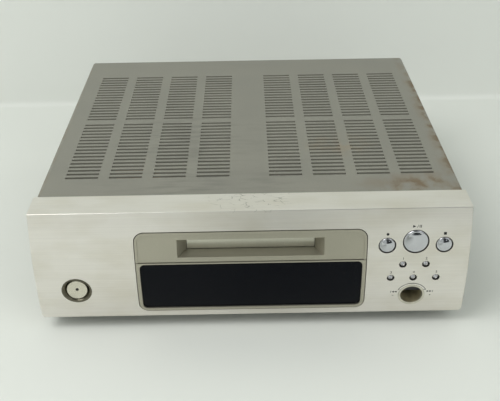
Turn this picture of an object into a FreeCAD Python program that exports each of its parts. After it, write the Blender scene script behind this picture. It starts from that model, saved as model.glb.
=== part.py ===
import FreeCAD, Part
import math
import os

# Minidisc deck, in millimetres. X runs to the right, Y to the rear and Z up.
# The origin is on the floor, under the middle of the deck's bounding box.
V = FreeCAD.Vector

# Overall sizes
WIDTH = 250.0
FACE_HEIGHT = 72.6
FOOT_GAP = 9.4
FIT = 0.3
SEAT = 0.1
SHEET = 1.0

# Front panel, an extrusion with a bowed face and a flat ledge on top
FACE_RADIUS = 157.0
FACE_CREST = 50.0
FACE_WALL = 3.0
CHEEK_WALL = 2.5
LEDGE_DEPTH = 23.5
LEDGE_WALL = 2.2
LIP_DEPTH = 5.5
LIP_WALL = 1.5
CORNER_RADIUS = 2.5
EDGE_RADIUS = 0.5

# Steel case
COVER_DROP = 0.8
COVER_SIDE_STEP = 0.8
COVER_LENGTH = 244.0
COVER_BEND = 2.5
COVER_HEM = 0.6
FLANGE_HEIGHT = 14.0
REAR_SETBACK = 1.2
REAR_LIP = 8.0

# Vent slots in the cover, and the row of openings in the tray under the drive
SLOT_LENGTH = 19.9
SLOT_WIDTH = 2.4
SLOT_SIDE_MARGIN = 12.92
SLOT_ROW_PITCH = 5.29
SLOT_COLUMNS = 4
SLOT_ROWS = 17
SLOT_INNER_X = 12.0
SLOT_FIRST_Y = 26.4
FLOOR_SLOTS = 5
FLOOR_SLOT_WIDTH = 4.0
FLOOR_SLOT_PITCH = 10.0
FLOOR_SLOT_LENGTH = 60.0

# Plaque of the disc slot and display, heights above the panel's bottom edge
PLAQUE_END_MARGIN = 59.0
PLAQUE_BOTTOM = 4.7
PLAQUE_TOP = 60.1
PLAQUE_RADIUS = 5.5
PLAQUE_GROOVE = 0.45
PLAQUE_SPLIT = 40.6
SPLIT_GAP = 0.4
RIM_WIDTH = 1.4
RIM_PROUD = 0.25
FIELD_SETBACK = 0.35
FIELD_WALL = 2.0
WINDOW_INSET = 2.0
WINDOW_TOP_INSET = 1.0
WINDOW_SETBACK = 0.8
WINDOW_WALL = 2.5
WINDOW_RADIUS = 3.0
WINDOW_LEDGE = 1.2
MOUTH_WIDTH = 84.0
MOUTH_BOTTOM = 43.9
MOUTH_TOP = 55.4
THROAT_WIDTH = 74.0
THROAT_BOTTOM = 44.9
THROAT_DEPTH = 8.0
THROAT_WALL = 1.5

# Door of the disc slot
DOOR_GAP = 0.3
DOOR_WALL = 1.6
DOOR_CROWN = 0.8
DOOR_PIVOT_RADIUS = 1.0
DOOR_PIVOT_BELOW_TOP = 1.5
DOOR_PIVOT_REACH = 1.2
DOOR_RIBS = 3
DOOR_RIB_WIDTH = 1.0
DOOR_RIB_PITCH = 2.8
DOOR_RIB_PROUD = 0.4
DOOR_RIB_MARGIN = 1.2
PIVOT_PLAY = 0.08
SPRING_WALL = 0.4
SPRING_WIDTH = 5.0
SPRING_X = 30.0

# Front controls, places from the nearer end and the bottom edge of the panel
CONTROL_INSET = 31.2
SHUTTLE_SPACING = 16.2
PLAY_Z = 51.8
SIDE_KEY_Z = 49.6
PLAY_RADIUS = 7.1
SIDE_KEY_RADIUS = 4.6
KEY_GAP = 0.45
KEY_PROUD = 1.0
KEY_DOME = 14.0
KEY_CAP = 6.0
KEY_STEM_RADIUS = 2.4
KEY_TRAVEL = 0.6
SMALL_KEY_RADIUS = 1.5
SMALL_KEY_GAP = 0.7
SMALL_KEY_SETBACK = 0.4
SMALL_KEY_STEM_RADIUS = 1.2
SMALL_KEY_UPPER_Z = 36.7
SMALL_KEY_LOWER_Z = 27.2
SMALL_KEY_UPPER_HALF = 6.6
SMALL_KEY_LOWER_SPACING = 13.1
SLIDE_PLAY = 0.08
GUIDE_WALL = 1.2
GUIDE_LENGTH = 3.0

POWER_INSET = 23.2
POWER_Z = 21.5
POWER_RING_RADIUS = 8.75
POWER_RING_LIP = 0.7
POWER_DISH_DEPTH = 2.2
POWER_BUTTON_RADIUS = 6.1
POWER_BUTTON_PLAY = 0.35
POWER_BUTTON_SETBACK = 1.2
POWER_BUTTON_LENGTH = 6.0
POWER_BUTTON_HOLLOW = 0.5
POWER_LENS_RADIUS = 0.95
POWER_LENS_LENGTH = 3.0
POWER_TRAVEL = 1.2

SELECTOR_Z = 13.9
WELL_MOUTH_RADIUS = 6.55
WELL_WALL = 1.2
WELL_DEPTH = 11.0
WELL_THROAT_RADIUS = 3.75
ROTOR_RADIUS = 3.5
ROTOR_BORE_RADIUS = 3.0
ROTOR_BORE_DEPTH = 6.0
ROTOR_LENGTH = 7.5
SHAFT_RADIUS = 2.0
PUSHER_RADIUS = 4.6
PUSHER_LENGTH = 2.0
SELECTOR_TRAVEL = 0.5
NECK_LENGTH = 1.6
ENCODER_SIDE = 12.0
ENCODER_LENGTH = 6.5

# Moulded frame behind the front panel, and the boards on it
FRAME_SETBACK = 14.0
FRAME_WALL = 2.0
BOARD_WALL = 1.6
BOARD_SETBACK = 22.5
SWITCH_SIDE = 6.0
SWITCH_BODY = 3.5
SWITCH_NUB_RADIUS = 1.6
SWITCH_NUB = 1.2
POST_RADIUS = 2.2
POST_INSET = 3.5
KEY_BOARD_WIDTH = 50.0
KEY_BOARD_HEIGHT = 54.0
POWER_KEY_BOARD_WIDTH = 34.0
POWER_KEY_BOARD_HEIGHT = 32.0
DISPLAY_BOARD_INSET = 7.0
DISPLAY_BOARD_HEIGHT = 34.0
TUBE_INSET = 18.0
TUBE_HEIGHT = 22.0
TUBE_WALL = 5.0

# Feet
FOOT_RADIUS = 13.0
FOOT_TAPER = 1.5
FOOT_PAD_RADIUS = 10.0
FOOT_PAD = 1.5
FOOT_SIDE_INSET = 27.0
FOOT_FRONT_INSET = 38.0
FOOT_REAR_INSET = 28.0
FOOT_WELL_RADIUS = 4.0
FOOT_WELL_DEPTH = 4.0

# Screws
SCREW_RADIUS = 1.5
SCREW_HEAD_RADIUS = 2.9
SCREW_HEAD = 0.7
SCREW_LENGTH = 5.0
SCREW_PLAY = 0.2
SCREW_CROSS = 3.2
SCREW_CROSS_WIDTH = 0.6
SCREW_CROSS_DEPTH = 0.49
SIDE_SCREW_HEIGHT = 7.0
SIDE_SCREW_INSET = 48.0
REAR_SCREW_SIDE_INSET = 15.0
REAR_SCREW_INSET = 5.0

# Disc drive, places measured from the disc's middle
CARTRIDGE_WIDTH = 72.0
CARTRIDGE_DEPTH = 68.0
CARTRIDGE_HEIGHT = 5.0
DRIVE_SETBACK = 34.0
CARTRIDGE_Z = 45.6
HOLDER_PLAY = 0.5
HOLDER_WALL = 0.8
HOLDER_LIP = 5.0
HOLDER_LIFT = 5.0
CAM_TRAVEL = 15.0
CAM_WALL = 1.2
CAM_GAP = 0.5
CAM_FRONT = 29.0
CAM_REAR = 24.0
CAM_END = 0.8
CAM_WINDOW_MARGIN = 5.0
PIN_RADIUS = 1.2
PIN_FRONT = -8.0
PIN_REAR = 20.0
PIN_PROUD = 0.6
SIDE_WALL = 1.2
SIDE_GAP = 0.8
BASE_DROP = 16.0
BASE_WALL = 1.2
BASE_FRONT = 42.0
BASE_REAR = 53.0
BRIDGE_DROP = 4.6
BRIDGE_LENGTH = 25.0
STUD_X = 33.0
STUD_Y = -8.0
STUD_SHANK = 1.5
STUD_HEAD = 2.6
STUD_HEAD_WALL = 1.0
GEAR_MODULE = 0.8
GEAR_ADDENDUM = 0.64
GEAR_DEDENDUM = 0.96
GEAR_WALL = 2.0
PRESSURE_ANGLE = 20.0
FLANK_STEPS = 4
BACKLASH = 0.2
LOADING_TEETH = 20
PINION_TEETH = 14
LOADING_GEAR_X = -18.0
AXLE_RADIUS = 1.2
AXLE_GAP = 0.4
RACK_BODY = 3.0
MOTOR_RADIUS = 6.0
MOTOR_HEIGHT = 7.5
SPINDLE_MOTOR_RADIUS = 8.4
SPINDLE_MOTOR_HEIGHT = 5.0
SPINDLE_RADIUS = 1.0
TURNTABLE_RADIUS = 7.8
TURNTABLE_WALL = 1.6
HUB_RADIUS = 3.0
HUB_HEIGHT = 1.4
SLED_TRAVEL = 16.0
LENS_START = 14.5
SLED_LEFT = 4.9
SLED_RIGHT = 6.8
SLED_LENGTH = 34.0
SLED_HEIGHT = 7.0
SLED_RISE = 0.8
SLED_GEAR_X = 16.0
RAIL_RADIUS = 1.5
RAIL_RISE = 4.0
RAIL_SPACING = 26.0
RAIL_START = 4.0
RAIL_BLOCK = 4.0
LENS_RADIUS = 2.6
LENS_PROUD = 0.5
ARM_WIDTH = 6.0
ARM_WALL = 1.0
ARM_CLEARANCE = 2.6
ARM_PIVOT_RADIUS = 1.0
ARM_HUB_RADIUS = 2.2
ARM_TIP = 4.0
HEAD_SIDE = 5.0
HEAD_DROP = 1.0
POST_BEHIND = 5.0
POST_DEPTH = 6.0
POST_WIDTH = 4.0
BEAM_RISE = 4.0
BEAM_WALL = 2.4
DAMPER_RADIUS = 4.0
DAMPER_HEIGHT = 5.0
DAMPER_X = 47.0
TAB_LENGTH = 11.0
TAB_OUTER = 53.0
CRADLE_WALL = 1.2
CRADLE_IN = 42.0
CRADLE_OUT = 53.5
CRADLE_FOOT = 8.0

# Electronics, the transformer measured from the left side and the rear panel
STANDOFF_RADIUS = 3.0
STANDOFF_HEIGHT = 7.0
STANDOFF_INSET = 5.0
BOARD_MARGIN = 4.0
BOARD_GAP = 12.4
MAIN_BOARD_DEPTH = 100.0
POWER_BOARD_WIDTH = 76.0
POWER_BOARD_DEPTH = 60.0
CORE_WIDTH = 50.0
CORE_STACK = 28.0
CORE_HEIGHT = 38.0
CORE_LIMB = 9.0
COIL_BULGE = 7.0
COIL_RADIUS = 3.0
TRANSFORMER_INSET = 45.0
TRANSFORMER_REAR_INSET = 96.6
TRANSFORMER_FOOT = 8.0
CAPACITOR_RADIUS = 6.3
CAPACITOR_HEIGHT = 26.0
SMALL_CAPACITOR_RADIUS = 3.2
SMALL_CAPACITOR_HEIGHT = 11.0
CAPACITOR_PITCH = 15.5
POWER_CAPACITORS = 4
MAIN_CAPACITORS = 5
MAIN_CHIPS = 3
SINK_HEIGHT = 34.0
SINK_WALL = 2.5
SINK_FIN = 1.2
SINK_FIN_DEPTH = 8.0
SINK_FINS = 9
CHIP_SIDE = 18.0
CHIP_WALL = 2.4
SHIELD_WIDTH = 32.0
SHIELD_DEPTH = 28.0
SHIELD_HEIGHT = 14.0
RIBBON_WIDTH = 14.0
RIBBON_WALL = 0.8
KEY_RIBBON_SHIFT = 6.2
DRIVE_RIBBON_X = -8.0

# Rear sockets, measured from the nearer side of the deck
RCA_INSET = 95.0
RCA_SPACING = 15.0
RCA_ROW = 16.0
RCA_LOW_Z = 26.0
RCA_SHELL_RADIUS = 4.15
RCA_SHELL_WALL = 0.6
RCA_SHELL_STEP = 0.15
RCA_STEP_GAP = 0.2
RCA_HOLE_RADIUS = 1.6
RCA_HOLE_FLOOR = 3.0
RCA_BLOCK_DEPTH = 12.0
RCA_FLANGE = 1.5
RCA_FLANGE_PROUD = 0.8
JACK_PROUD = 8.0
OPTICAL_INSET = 47.0
OPTICAL_SPACING = 18.0
OPTICAL_Z = 42.0
OPTICAL_SIDE = 10.0
OPTICAL_OPENING = 6.4
OPTICAL_DEPTH = 14.0
OPTICAL_PROUD = 3.0
OPTICAL_FLOOR = 3.0
SHUTTER_WALL = 0.8
SHUTTER_PIN_RADIUS = 0.5
SHUTTER_SETBACK = 1.2
INLET_INSET = 39.0
INLET_Z = 34.0
INLET_WIDTH = 27.0
INLET_HEIGHT = 17.0
INLET_CORNER = 2.0
INLET_OPENING_WIDTH = 14.6
INLET_OPENING_HEIGHT = 8.4
INLET_DEPTH = 15.0
INLET_PROUD = 2.0
INLET_FLOOR = 2.5
INLET_WAIST = 0.8
INLET_PIN_SPACING = 8.6
INLET_PIN_RADIUS = 1.2
INLET_PIN_SETBACK = 4.0
INLET_PIN_TAIL = 4.0

# Places worked out from the sizes above
DEPTH = KEY_PROUD + LEDGE_DEPTH + FIT + COVER_LENGTH - REAR_SETBACK + JACK_PROUD
FACE_Y = KEY_PROUD - DEPTH / 2
BASE_Z = FOOT_GAP
FACE_TOP = BASE_Z + FACE_HEIGHT
COVER_FRONT = FACE_Y + LEDGE_DEPTH + FIT
COVER_BACK = COVER_FRONT + COVER_LENGTH
COVER_TOP = FACE_TOP - COVER_DROP
REAR_Y = COVER_BACK - REAR_SETBACK
COVER_WIDTH = WIDTH - 2 * COVER_SIDE_STEP
SLOT_SPAN = COVER_WIDTH / 2 - SLOT_SIDE_MARGIN - SLOT_LENGTH - SLOT_INNER_X
SLOT_COLUMN_PITCH = SLOT_SPAN / (SLOT_COLUMNS - 1)
INSIDE_X = COVER_WIDTH / 2 - SHEET
PLAQUE_WIDTH = WIDTH - 2 * PLAQUE_END_MARGIN
CONTROL_X = WIDTH / 2 - CONTROL_INSET
POWER_X = POWER_INSET - WIDTH / 2
DISPLAY_BOARD_WIDTH = PLAQUE_WIDTH - 2 * DISPLAY_BOARD_INSET
TUBE_WIDTH = PLAQUE_WIDTH - 2 * TUBE_INSET
FOOT_X = WIDTH / 2 - FOOT_SIDE_INSET
REAR_SCREW_X = WIDTH / 2 - REAR_SCREW_SIDE_INSET
TRANSFORMER_X = TRANSFORMER_INSET - WIDTH / 2
KEY_RIBBON_X = CONTROL_X + KEY_RIBBON_SHIFT
RCA_X = WIDTH / 2 - RCA_INSET
OPTICAL_X = WIDTH / 2 - OPTICAL_INSET
INLET_X = INLET_INSET - WIDTH / 2
FLOOR_TOP = BASE_Z + SHEET
FRAME_Y = FACE_Y + FRAME_SETBACK
FRAME_BACK = FRAME_Y + FRAME_WALL
FRAME_HALF = WIDTH / 2 - CHEEK_WALL - FIT
BOARD_Y = FACE_Y + BOARD_SETBACK
AHEAD = FACE_Y - 3 * KEY_PROUD

DISC_Y = FACE_Y + DRIVE_SETBACK + CARTRIDGE_DEPTH / 2
HOLDER_IN = CARTRIDGE_WIDTH / 2 + HOLDER_PLAY
HOLDER_OUT = HOLDER_IN + HOLDER_WALL
HOLDER_FLOOR = BASE_Z + CARTRIDGE_Z
HOLDER_TOP = HOLDER_FLOOR + CARTRIDGE_HEIGHT + HOLDER_PLAY
BASE_TOP = HOLDER_FLOOR - BASE_DROP
BASE_LOW = BASE_TOP - BASE_WALL
SIDE_IN = HOLDER_OUT + SIDE_GAP
SIDE_OUT = SIDE_IN + SIDE_WALL
CAM_IN = SIDE_OUT + CAM_GAP
CAM_OUT = CAM_IN + CAM_WALL
PIN_Z = (HOLDER_FLOOR + HOLDER_TOP) / 2
PIN_REACH = PIN_RADIUS + SLIDE_PLAY
BRIDGE_Z = BASE_LOW - BRIDGE_DROP
BRIDGE_TOP = BRIDGE_Z + CAM_WALL
GEAR_PITCH = math.pi * GEAR_MODULE
LOADING_RADIUS = GEAR_MODULE * LOADING_TEETH / 2
PINION_RADIUS = GEAR_MODULE * PINION_TEETH / 2
LOADING_GEAR_TOP = BASE_LOW - AXLE_GAP
SLED_GEAR_LOW = BASE_TOP + AXLE_GAP
SLED_BACK = DISC_Y + SLED_LENGTH / 2
SLED_RACK_Y = SLED_BACK + RACK_BODY
SLED_GEAR_Y = SLED_RACK_Y + PINION_RADIUS
CRADLE_TOP = BASE_LOW - DAMPER_HEIGHT
ARM_Y = DISC_Y + CARTRIDGE_DEPTH / 2 + POST_BEHIND + POST_DEPTH / 2
ARM_Z = HOLDER_TOP + HOLDER_WALL + ARM_CLEARANCE

SELECTOR_FACE = FACE_Y + FACE_RADIUS - math.sqrt(FACE_RADIUS ** 2 - (SELECTOR_Z - FACE_CREST) ** 2)
WELL_FLOOR = SELECTOR_FACE + WELL_DEPTH
ROTOR_FRONT = WELL_FLOOR + FIT
PUSHER_FRONT = ROTOR_FRONT + ROTOR_LENGTH + SLIDE_PLAY
NECK_FRONT = PUSHER_FRONT + PUSHER_LENGTH + SELECTOR_TRAVEL + FIT
ENCODER_Y = NECK_FRONT + NECK_LENGTH
KEY_BOARD_Y = ENCODER_Y + ENCODER_LENGTH


def box(x0, x1, y0, y1, z0, z1):
    """A block between two corners."""
    return Part.makeBox(x1 - x0, y1 - y0, z1 - z0, V(x0, y0, z0))


def across(half, y0, y1, z0, z1):
    """A block centred on X."""
    return box(-half, half, y0, y1, z0, z1)


def around(x, z, half_width, half_height, y0, y1):
    """A block centred on a point of the XZ plane."""
    return box(x - half_width, x + half_width, y0, y1, z - half_height, z + half_height)


def rod_x(radius, x0, x1, y, z):
    return Part.makeCylinder(radius, x1 - x0, V(x0, y, z), V(1, 0, 0))


def rod_y(radius, y0, y1, x, z):
    return Part.makeCylinder(radius, y1 - y0, V(x, y0, z), V(0, 1, 0))


def rod_z(radius, z0, z1, x, y):
    return Part.makeCylinder(radius, z1 - z0, V(x, y, z0), V(0, 0, 1))


def cone_y(r0, r1, y0, y1, x, z):
    return Part.makeCone(r0, r1, y1 - y0, V(x, y0, z), V(0, 1, 0))


def prism(corners, way):
    """A closed polygon, drawn out along a vector."""
    return Part.Face(Part.makePolygon(corners + corners[:1])).extrude(way)


def mirrored(shape):
    return shape.mirror(V(0, 0, 0), V(1, 0, 0))


def edges_along(shape, axis):
    """The straight edges of a block that run along an axis."""
    return [e for e in shape.Edges if abs(e.tangentAt(e.FirstParameter).dot(axis)) > 0.99]


def rounded(half, z0, z1, radius, y0, y1):
    """A block centred on X whose outline, seen from the front, has round corners."""
    block = across(half, y0, y1, z0, z1)
    return block.makeFillet(radius, edges_along(block, V(0, 1, 0)))


def face_y(z):
    """Y of the bowed face at a height above the panel's bottom edge."""
    return FACE_Y + FACE_RADIUS - math.sqrt(FACE_RADIUS ** 2 - (z - FACE_CREST) ** 2)


def face_arc(offset, half):
    """The bowed face's line at the left end, moved back by an offset."""
    heights = (0.0, FACE_HEIGHT / 2, FACE_HEIGHT)
    return Part.Arc(*[V(-half, face_y(h) + offset, BASE_Z + h) for h in heights]).toShape()


def behind_face(offset, back, half=WIDTH / 2):
    """All that lies between the bowed face, moved back by an offset, and an upright plane."""
    top = V(-half, face_y(FACE_HEIGHT) + offset, FACE_TOP)
    low = V(-half, face_y(0) + offset, BASE_Z)
    far = [V(-half, back, FACE_TOP), V(-half, back, BASE_Z)]
    sides = [Part.makeLine(top, far[0]), Part.makeLine(far[0], far[1]), Part.makeLine(far[1], low)]
    wire = Part.Wire(Part.sortEdges([face_arc(offset, half)] + sides)[0])
    return Part.Face(wire).extrude(V(2 * half, 0, 0))


def slab(front, back):
    """A sheet that follows the bowed face, between two offsets behind it."""
    return behind_face(front, FACE_Y + LEDGE_DEPTH).cut(behind_face(back, FACE_Y + LEDGE_DEPTH + 1))


def plaque(grow, back):
    """Outline of the slot and display, grown on every side, from before the panel to a plane."""
    radius = PLAQUE_RADIUS + grow
    return rounded(PLAQUE_WIDTH / 2 + grow, BASE_Z + PLAQUE_BOTTOM - grow, BASE_Z + PLAQUE_TOP + grow,
                   radius, AHEAD, back)


def big_keys():
    """Names and places of the three round shuttle keys, with their radii."""
    left, right = CONTROL_X - SHUTTLE_SPACING, CONTROL_X + SHUTTLE_SPACING
    return {"record_button": (left, SIDE_KEY_Z, SIDE_KEY_RADIUS),
            "play_button": (CONTROL_X, PLAY_Z, PLAY_RADIUS),
            "stop_button": (right, SIDE_KEY_Z, SIDE_KEY_RADIUS)}


def small_keys():
    """Names and places of the five small keys."""
    upper, lower = SMALL_KEY_UPPER_Z, SMALL_KEY_LOWER_Z
    return {"upper_left_key": (CONTROL_X - SMALL_KEY_UPPER_HALF, upper),
            "upper_right_key": (CONTROL_X + SMALL_KEY_UPPER_HALF, upper),
            "lower_left_key": (CONTROL_X - SMALL_KEY_LOWER_SPACING, lower),
            "lower_middle_key": (CONTROL_X, lower),
            "lower_right_key": (CONTROL_X + SMALL_KEY_LOWER_SPACING, lower)}


def switch_tip(board_y):
    """Y of a tact switch's plunger in front of its board."""
    return board_y - SWITCH_BODY - SWITCH_NUB


def front_panel():
    """Bowed face with a top ledge, end cheeks and a bottom lip, cut for the plaque and controls."""
    back = FACE_Y + LEDGE_DEPTH
    outer = behind_face(0, back)
    low = [e for e in edges_along(outer, V(0, 1, 0)) if e.CenterOfMass.z < BASE_Z + EDGE_RADIUS]
    outer = outer.makeFillet(CORNER_RADIUS, low)
    ends = [e for e in outer.Edges if isinstance(e.Curve, Part.Circle) and abs(e.CenterOfMass.x) > FRAME_HALF
            and e.Length > FACE_HEIGHT / 2]
    ridge = [e for e in edges_along(outer, V(1, 0, 0))
             if e.CenterOfMass.z > FACE_TOP - EDGE_RADIUS and e.CenterOfMass.y < FACE_Y + LEDGE_DEPTH / 2]
    outer = outer.makeFillet(EDGE_RADIUS, ends + ridge)
    half = WIDTH / 2 - CHEEK_WALL
    cavity = behind_face(FACE_WALL, back + 1, half)
    cavity = cavity.cut(across(WIDTH, AHEAD, back + 2, FACE_TOP - LEDGE_WALL, FACE_TOP + 1))
    cavity = cavity.cut(across(WIDTH, AHEAD, face_y(0) + LIP_DEPTH, BASE_Z - 1, BASE_Z + LIP_WALL))
    holes = [plaque(PLAQUE_GROOVE, back)]
    for x, z, radius in big_keys().values():
        holes.append(rod_y(radius + KEY_GAP, AHEAD, back, x, BASE_Z + z))
    for x, z in small_keys().values():
        holes.append(rod_y(SMALL_KEY_RADIUS + SMALL_KEY_GAP, AHEAD, back, x, BASE_Z + z))
    holes.append(rod_y(POWER_RING_RADIUS + SEAT, AHEAD, back, POWER_X, BASE_Z + POWER_Z))
    holes.append(rod_y(WELL_MOUTH_RADIUS + WELL_WALL + SEAT, AHEAD, back, CONTROL_X, BASE_Z + SELECTOR_Z))
    return outer.cut([cavity] + holes).removeSplitter()


def slot_surround():
    """Upper moulding of the plaque, with a raised rim and the splayed mouth of the disc slot."""
    keep = across(WIDTH, AHEAD, FRAME_Y, BASE_Z + PLAQUE_SPLIT + SPLIT_GAP / 2, FACE_TOP)
    outline = plaque(0, FRAME_Y)
    rim = outline.cut(plaque(-RIM_WIDTH, FRAME_Y + 1)).common(behind_face(-RIM_PROUD, FRAME_Y))
    field = outline.common(slab(FIELD_SETBACK, FIELD_SETBACK + FIELD_WALL))
    low, top, wall = BASE_Z + MOUTH_BOTTOM, BASE_Z + MOUTH_TOP, THROAT_WALL
    sleeve = across(MOUTH_WIDTH / 2 + wall, FACE_Y + FIELD_SETBACK + FIELD_WALL / 2, FRAME_Y, low - wall,
                    top + wall)
    mouth_y, throat_y = FACE_Y + FIELD_SETBACK, FACE_Y + THROAT_DEPTH
    floor = BASE_Z + THROAT_BOTTOM

    def ring(half, y, z0):
        corners = [V(-half, y, z0), V(half, y, z0), V(half, y, top), V(-half, y, top)]
        return Part.makePolygon(corners + corners[:1])

    funnel = Part.makeLoft([ring(MOUTH_WIDTH / 2, mouth_y, low), ring(THROAT_WIDTH / 2, throat_y, floor)],
                           True, True)
    opening = across(MOUTH_WIDTH / 2, AHEAD, mouth_y, low, top)
    tunnel = across(THROAT_WIDTH / 2, throat_y, FRAME_BACK, floor, top)
    pivot = rod_x(DOOR_PIVOT_RADIUS + PIVOT_PLAY, -THROAT_WIDTH / 2 - DOOR_PIVOT_REACH,
                  THROAT_WIDTH / 2 + DOOR_PIVOT_REACH, *door_axis())
    body = rim.fuse([field, sleeve]).common(keep)
    return body.cut([funnel, opening, tunnel, pivot]).removeSplitter()


def door_axis():
    """Y and Z of the door's hinge line."""
    return (FACE_Y + THROAT_DEPTH + DOOR_CROWN + DOOR_WALL, BASE_Z + MOUTH_TOP - DOOR_PIVOT_BELOW_TOP)


def slot_door():
    """Flap with a crowned face that hangs from two pivots and swings inwards."""
    y, z = door_axis()
    half = THROAT_WIDTH / 2 - DOOR_GAP
    low, top = BASE_Z + THROAT_BOTTOM + DOOR_GAP, BASE_Z + MOUTH_TOP - DOOR_GAP

    def leaf(x0, x1, proud, margin):
        front, z0, z1 = y - DOOR_WALL - proud, low + margin, top - margin
        crown = Part.Arc(V(x0, front, z1), V(x0, front - DOOR_CROWN, (z0 + z1) / 2),
                         V(x0, front, z0)).toShape()
        back = Part.makePolygon([V(x0, front, z0), V(x0, y, z0), V(x0, y, z1), V(x0, front, z1)])
        wire = Part.Wire(Part.sortEdges([crown] + back.Edges)[0])
        return Part.Face(wire).extrude(V(x1 - x0, 0, 0))

    flap = leaf(-half, half, 0, 0)
    ribs = []
    for side in (-1, 1):
        for i in range(DOOR_RIBS):
            x = side * (half - DOOR_RIB_MARGIN - DOOR_RIB_WIDTH / 2 - i * DOOR_RIB_PITCH)
            ribs.append(leaf(x - DOOR_RIB_WIDTH / 2, x + DOOR_RIB_WIDTH / 2, DOOR_RIB_PROUD, DOOR_RIB_MARGIN))
    reach = THROAT_WIDTH / 2 + DOOR_PIVOT_REACH - PIVOT_PLAY
    return flap.fuse(ribs + [rod_x(DOOR_PIVOT_RADIUS, -reach, reach, y, z)]).removeSplitter()


def door_spring():
    """Leaf on the frame whose bent tip rests above the door's back edge."""
    y = FRAME_BACK
    z = BASE_Z + MOUTH_TOP + THROAT_WALL
    x0 = SPRING_X - SPRING_WIDTH / 2
    x1 = SPRING_X + SPRING_WIDTH / 2
    upright = box(x0, x1, y, y + SPRING_WALL, z, z + SPRING_WIDTH)
    return upright.fuse(box(x0, x1, y, y + SPRING_WIDTH, z, z + SPRING_WALL)).removeSplitter()


def window_block(grow):
    half = PLAQUE_WIDTH / 2 - WINDOW_INSET + grow
    return rounded(half, BASE_Z + PLAQUE_BOTTOM + WINDOW_INSET - grow,
                   BASE_Z + PLAQUE_SPLIT - WINDOW_TOP_INSET + grow, WINDOW_RADIUS + grow, AHEAD, FRAME_BACK)


def display_frame():
    """Lower moulding of the plaque, a rim and a ledge that hold the display window."""
    keep = across(WIDTH, AHEAD, FRAME_Y, BASE_Z, BASE_Z + PLAQUE_SPLIT - SPLIT_GAP / 2)
    body = plaque(0, FRAME_Y).common(behind_face(-RIM_PROUD, FRAME_Y)).common(keep)
    pocket = window_block(0).cut(behind_face(WINDOW_SETBACK + WINDOW_WALL, FRAME_BACK + 1))
    return body.cut([pocket, window_block(-WINDOW_LEDGE)]).removeSplitter()


def display_window():
    """Smoked window that follows the bowed face."""
    return slab(WINDOW_SETBACK, WINDOW_SETBACK + WINDOW_WALL).common(window_block(-SEAT))


def turned_key(x, z, front, cap_radius, cap_length, stem_radius, tip_y):
    """A round key with a domed cap, and a stem that ends just before a switch."""
    sag = KEY_DOME - math.sqrt(KEY_DOME ** 2 - cap_radius ** 2)
    cap = rod_y(cap_radius, front, front + cap_length, x, z)
    dome = Part.makeSphere(KEY_DOME, V(x, front + KEY_DOME, z))
    cap = cap.common(dome.fuse(rod_y(cap_radius, front + sag, front + cap_length, x, z)))
    stem = rod_y(stem_radius, front + cap_length / 2, tip_y - KEY_TRAVEL - SEAT, x, z)
    return cap.fuse(stem).removeSplitter()


def keys():
    made = {}
    tip = switch_tip(KEY_BOARD_Y)
    for name, (x, z, radius) in big_keys().items():
        made[name] = turned_key(x, BASE_Z + z, FACE_Y - KEY_PROUD, radius, KEY_CAP, KEY_STEM_RADIUS, tip)
    for name, (x, z) in small_keys().items():
        front = face_y(z) + SMALL_KEY_SETBACK
        made[name] = turned_key(x, BASE_Z + z, front, SMALL_KEY_RADIUS, KEY_CAP, SMALL_KEY_STEM_RADIUS, tip)
    return made


def power_ring():
    """Dished ring set into the panel round the power button."""
    x, z, y = POWER_X, BASE_Z + POWER_Z, face_y(POWER_Z)
    inner = POWER_BUTTON_RADIUS + POWER_BUTTON_PLAY
    wide = POWER_RING_RADIUS - POWER_RING_LIP
    body = rod_y(POWER_RING_RADIUS, AHEAD, FRAME_Y, x, z).common(behind_face(-RIM_PROUD, FRAME_Y))
    dish = cone_y(wide, inner, y, y + POWER_DISH_DEPTH, x, z)
    return body.cut([dish, rod_y(wide, AHEAD, y, x, z),
                     rod_y(inner, AHEAD, FRAME_BACK, x, z)]).removeSplitter()


def power_button():
    """Round button with a hollowed face, a stem and a hole for its lens."""
    x, z = POWER_X, BASE_Z + POWER_Z
    front = face_y(POWER_Z) + POWER_BUTTON_SETBACK
    cap = rod_y(POWER_BUTTON_RADIUS, front, front + POWER_BUTTON_LENGTH, x, z)
    rim = [e for e in cap.Edges if isinstance(e.Curve,
                                              Part.Circle) and abs(e.CenterOfMass.y - front) < EDGE_RADIUS]
    cap = cap.makeFillet(EDGE_RADIUS, rim)
    hollow = POWER_BUTTON_HOLLOW
    ball = ((POWER_BUTTON_RADIUS - EDGE_RADIUS) ** 2 + hollow ** 2) / (2 * hollow)
    stem = rod_y(KEY_STEM_RADIUS, front + POWER_LENS_LENGTH + 1, switch_tip(BOARD_Y) - POWER_TRAVEL - SEAT, x,
                 z)
    cuts = [Part.makeSphere(ball, V(x, front + hollow - ball, z)),
            rod_y(POWER_LENS_RADIUS, AHEAD, front + POWER_LENS_LENGTH, x, z)]
    return cap.fuse(stem).cut(cuts).removeSplitter()


def power_lens():
    """Light pipe in the middle of the power button."""
    front = face_y(POWER_Z) + POWER_BUTTON_SETBACK
    return rod_y(POWER_LENS_RADIUS, front + POWER_BUTTON_HOLLOW, front + POWER_LENS_LENGTH, POWER_X,
                 BASE_Z + POWER_Z)


def selector_well():
    """Funnel-shaped collar for the selector knob."""
    x, z = CONTROL_X, BASE_Z + SELECTOR_Z
    body = rod_y(WELL_MOUTH_RADIUS + WELL_WALL, AHEAD, WELL_FLOOR, x, z)
    body = body.common(behind_face(-RIM_PROUD / 2, WELL_FLOOR + 1))
    funnel = cone_y(WELL_MOUTH_RADIUS, WELL_THROAT_RADIUS, SELECTOR_FACE, WELL_FLOOR, x, z)
    return body.cut([funnel, rod_y(WELL_MOUTH_RADIUS, AHEAD, SELECTOR_FACE, x, z)]).removeSplitter()


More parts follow.
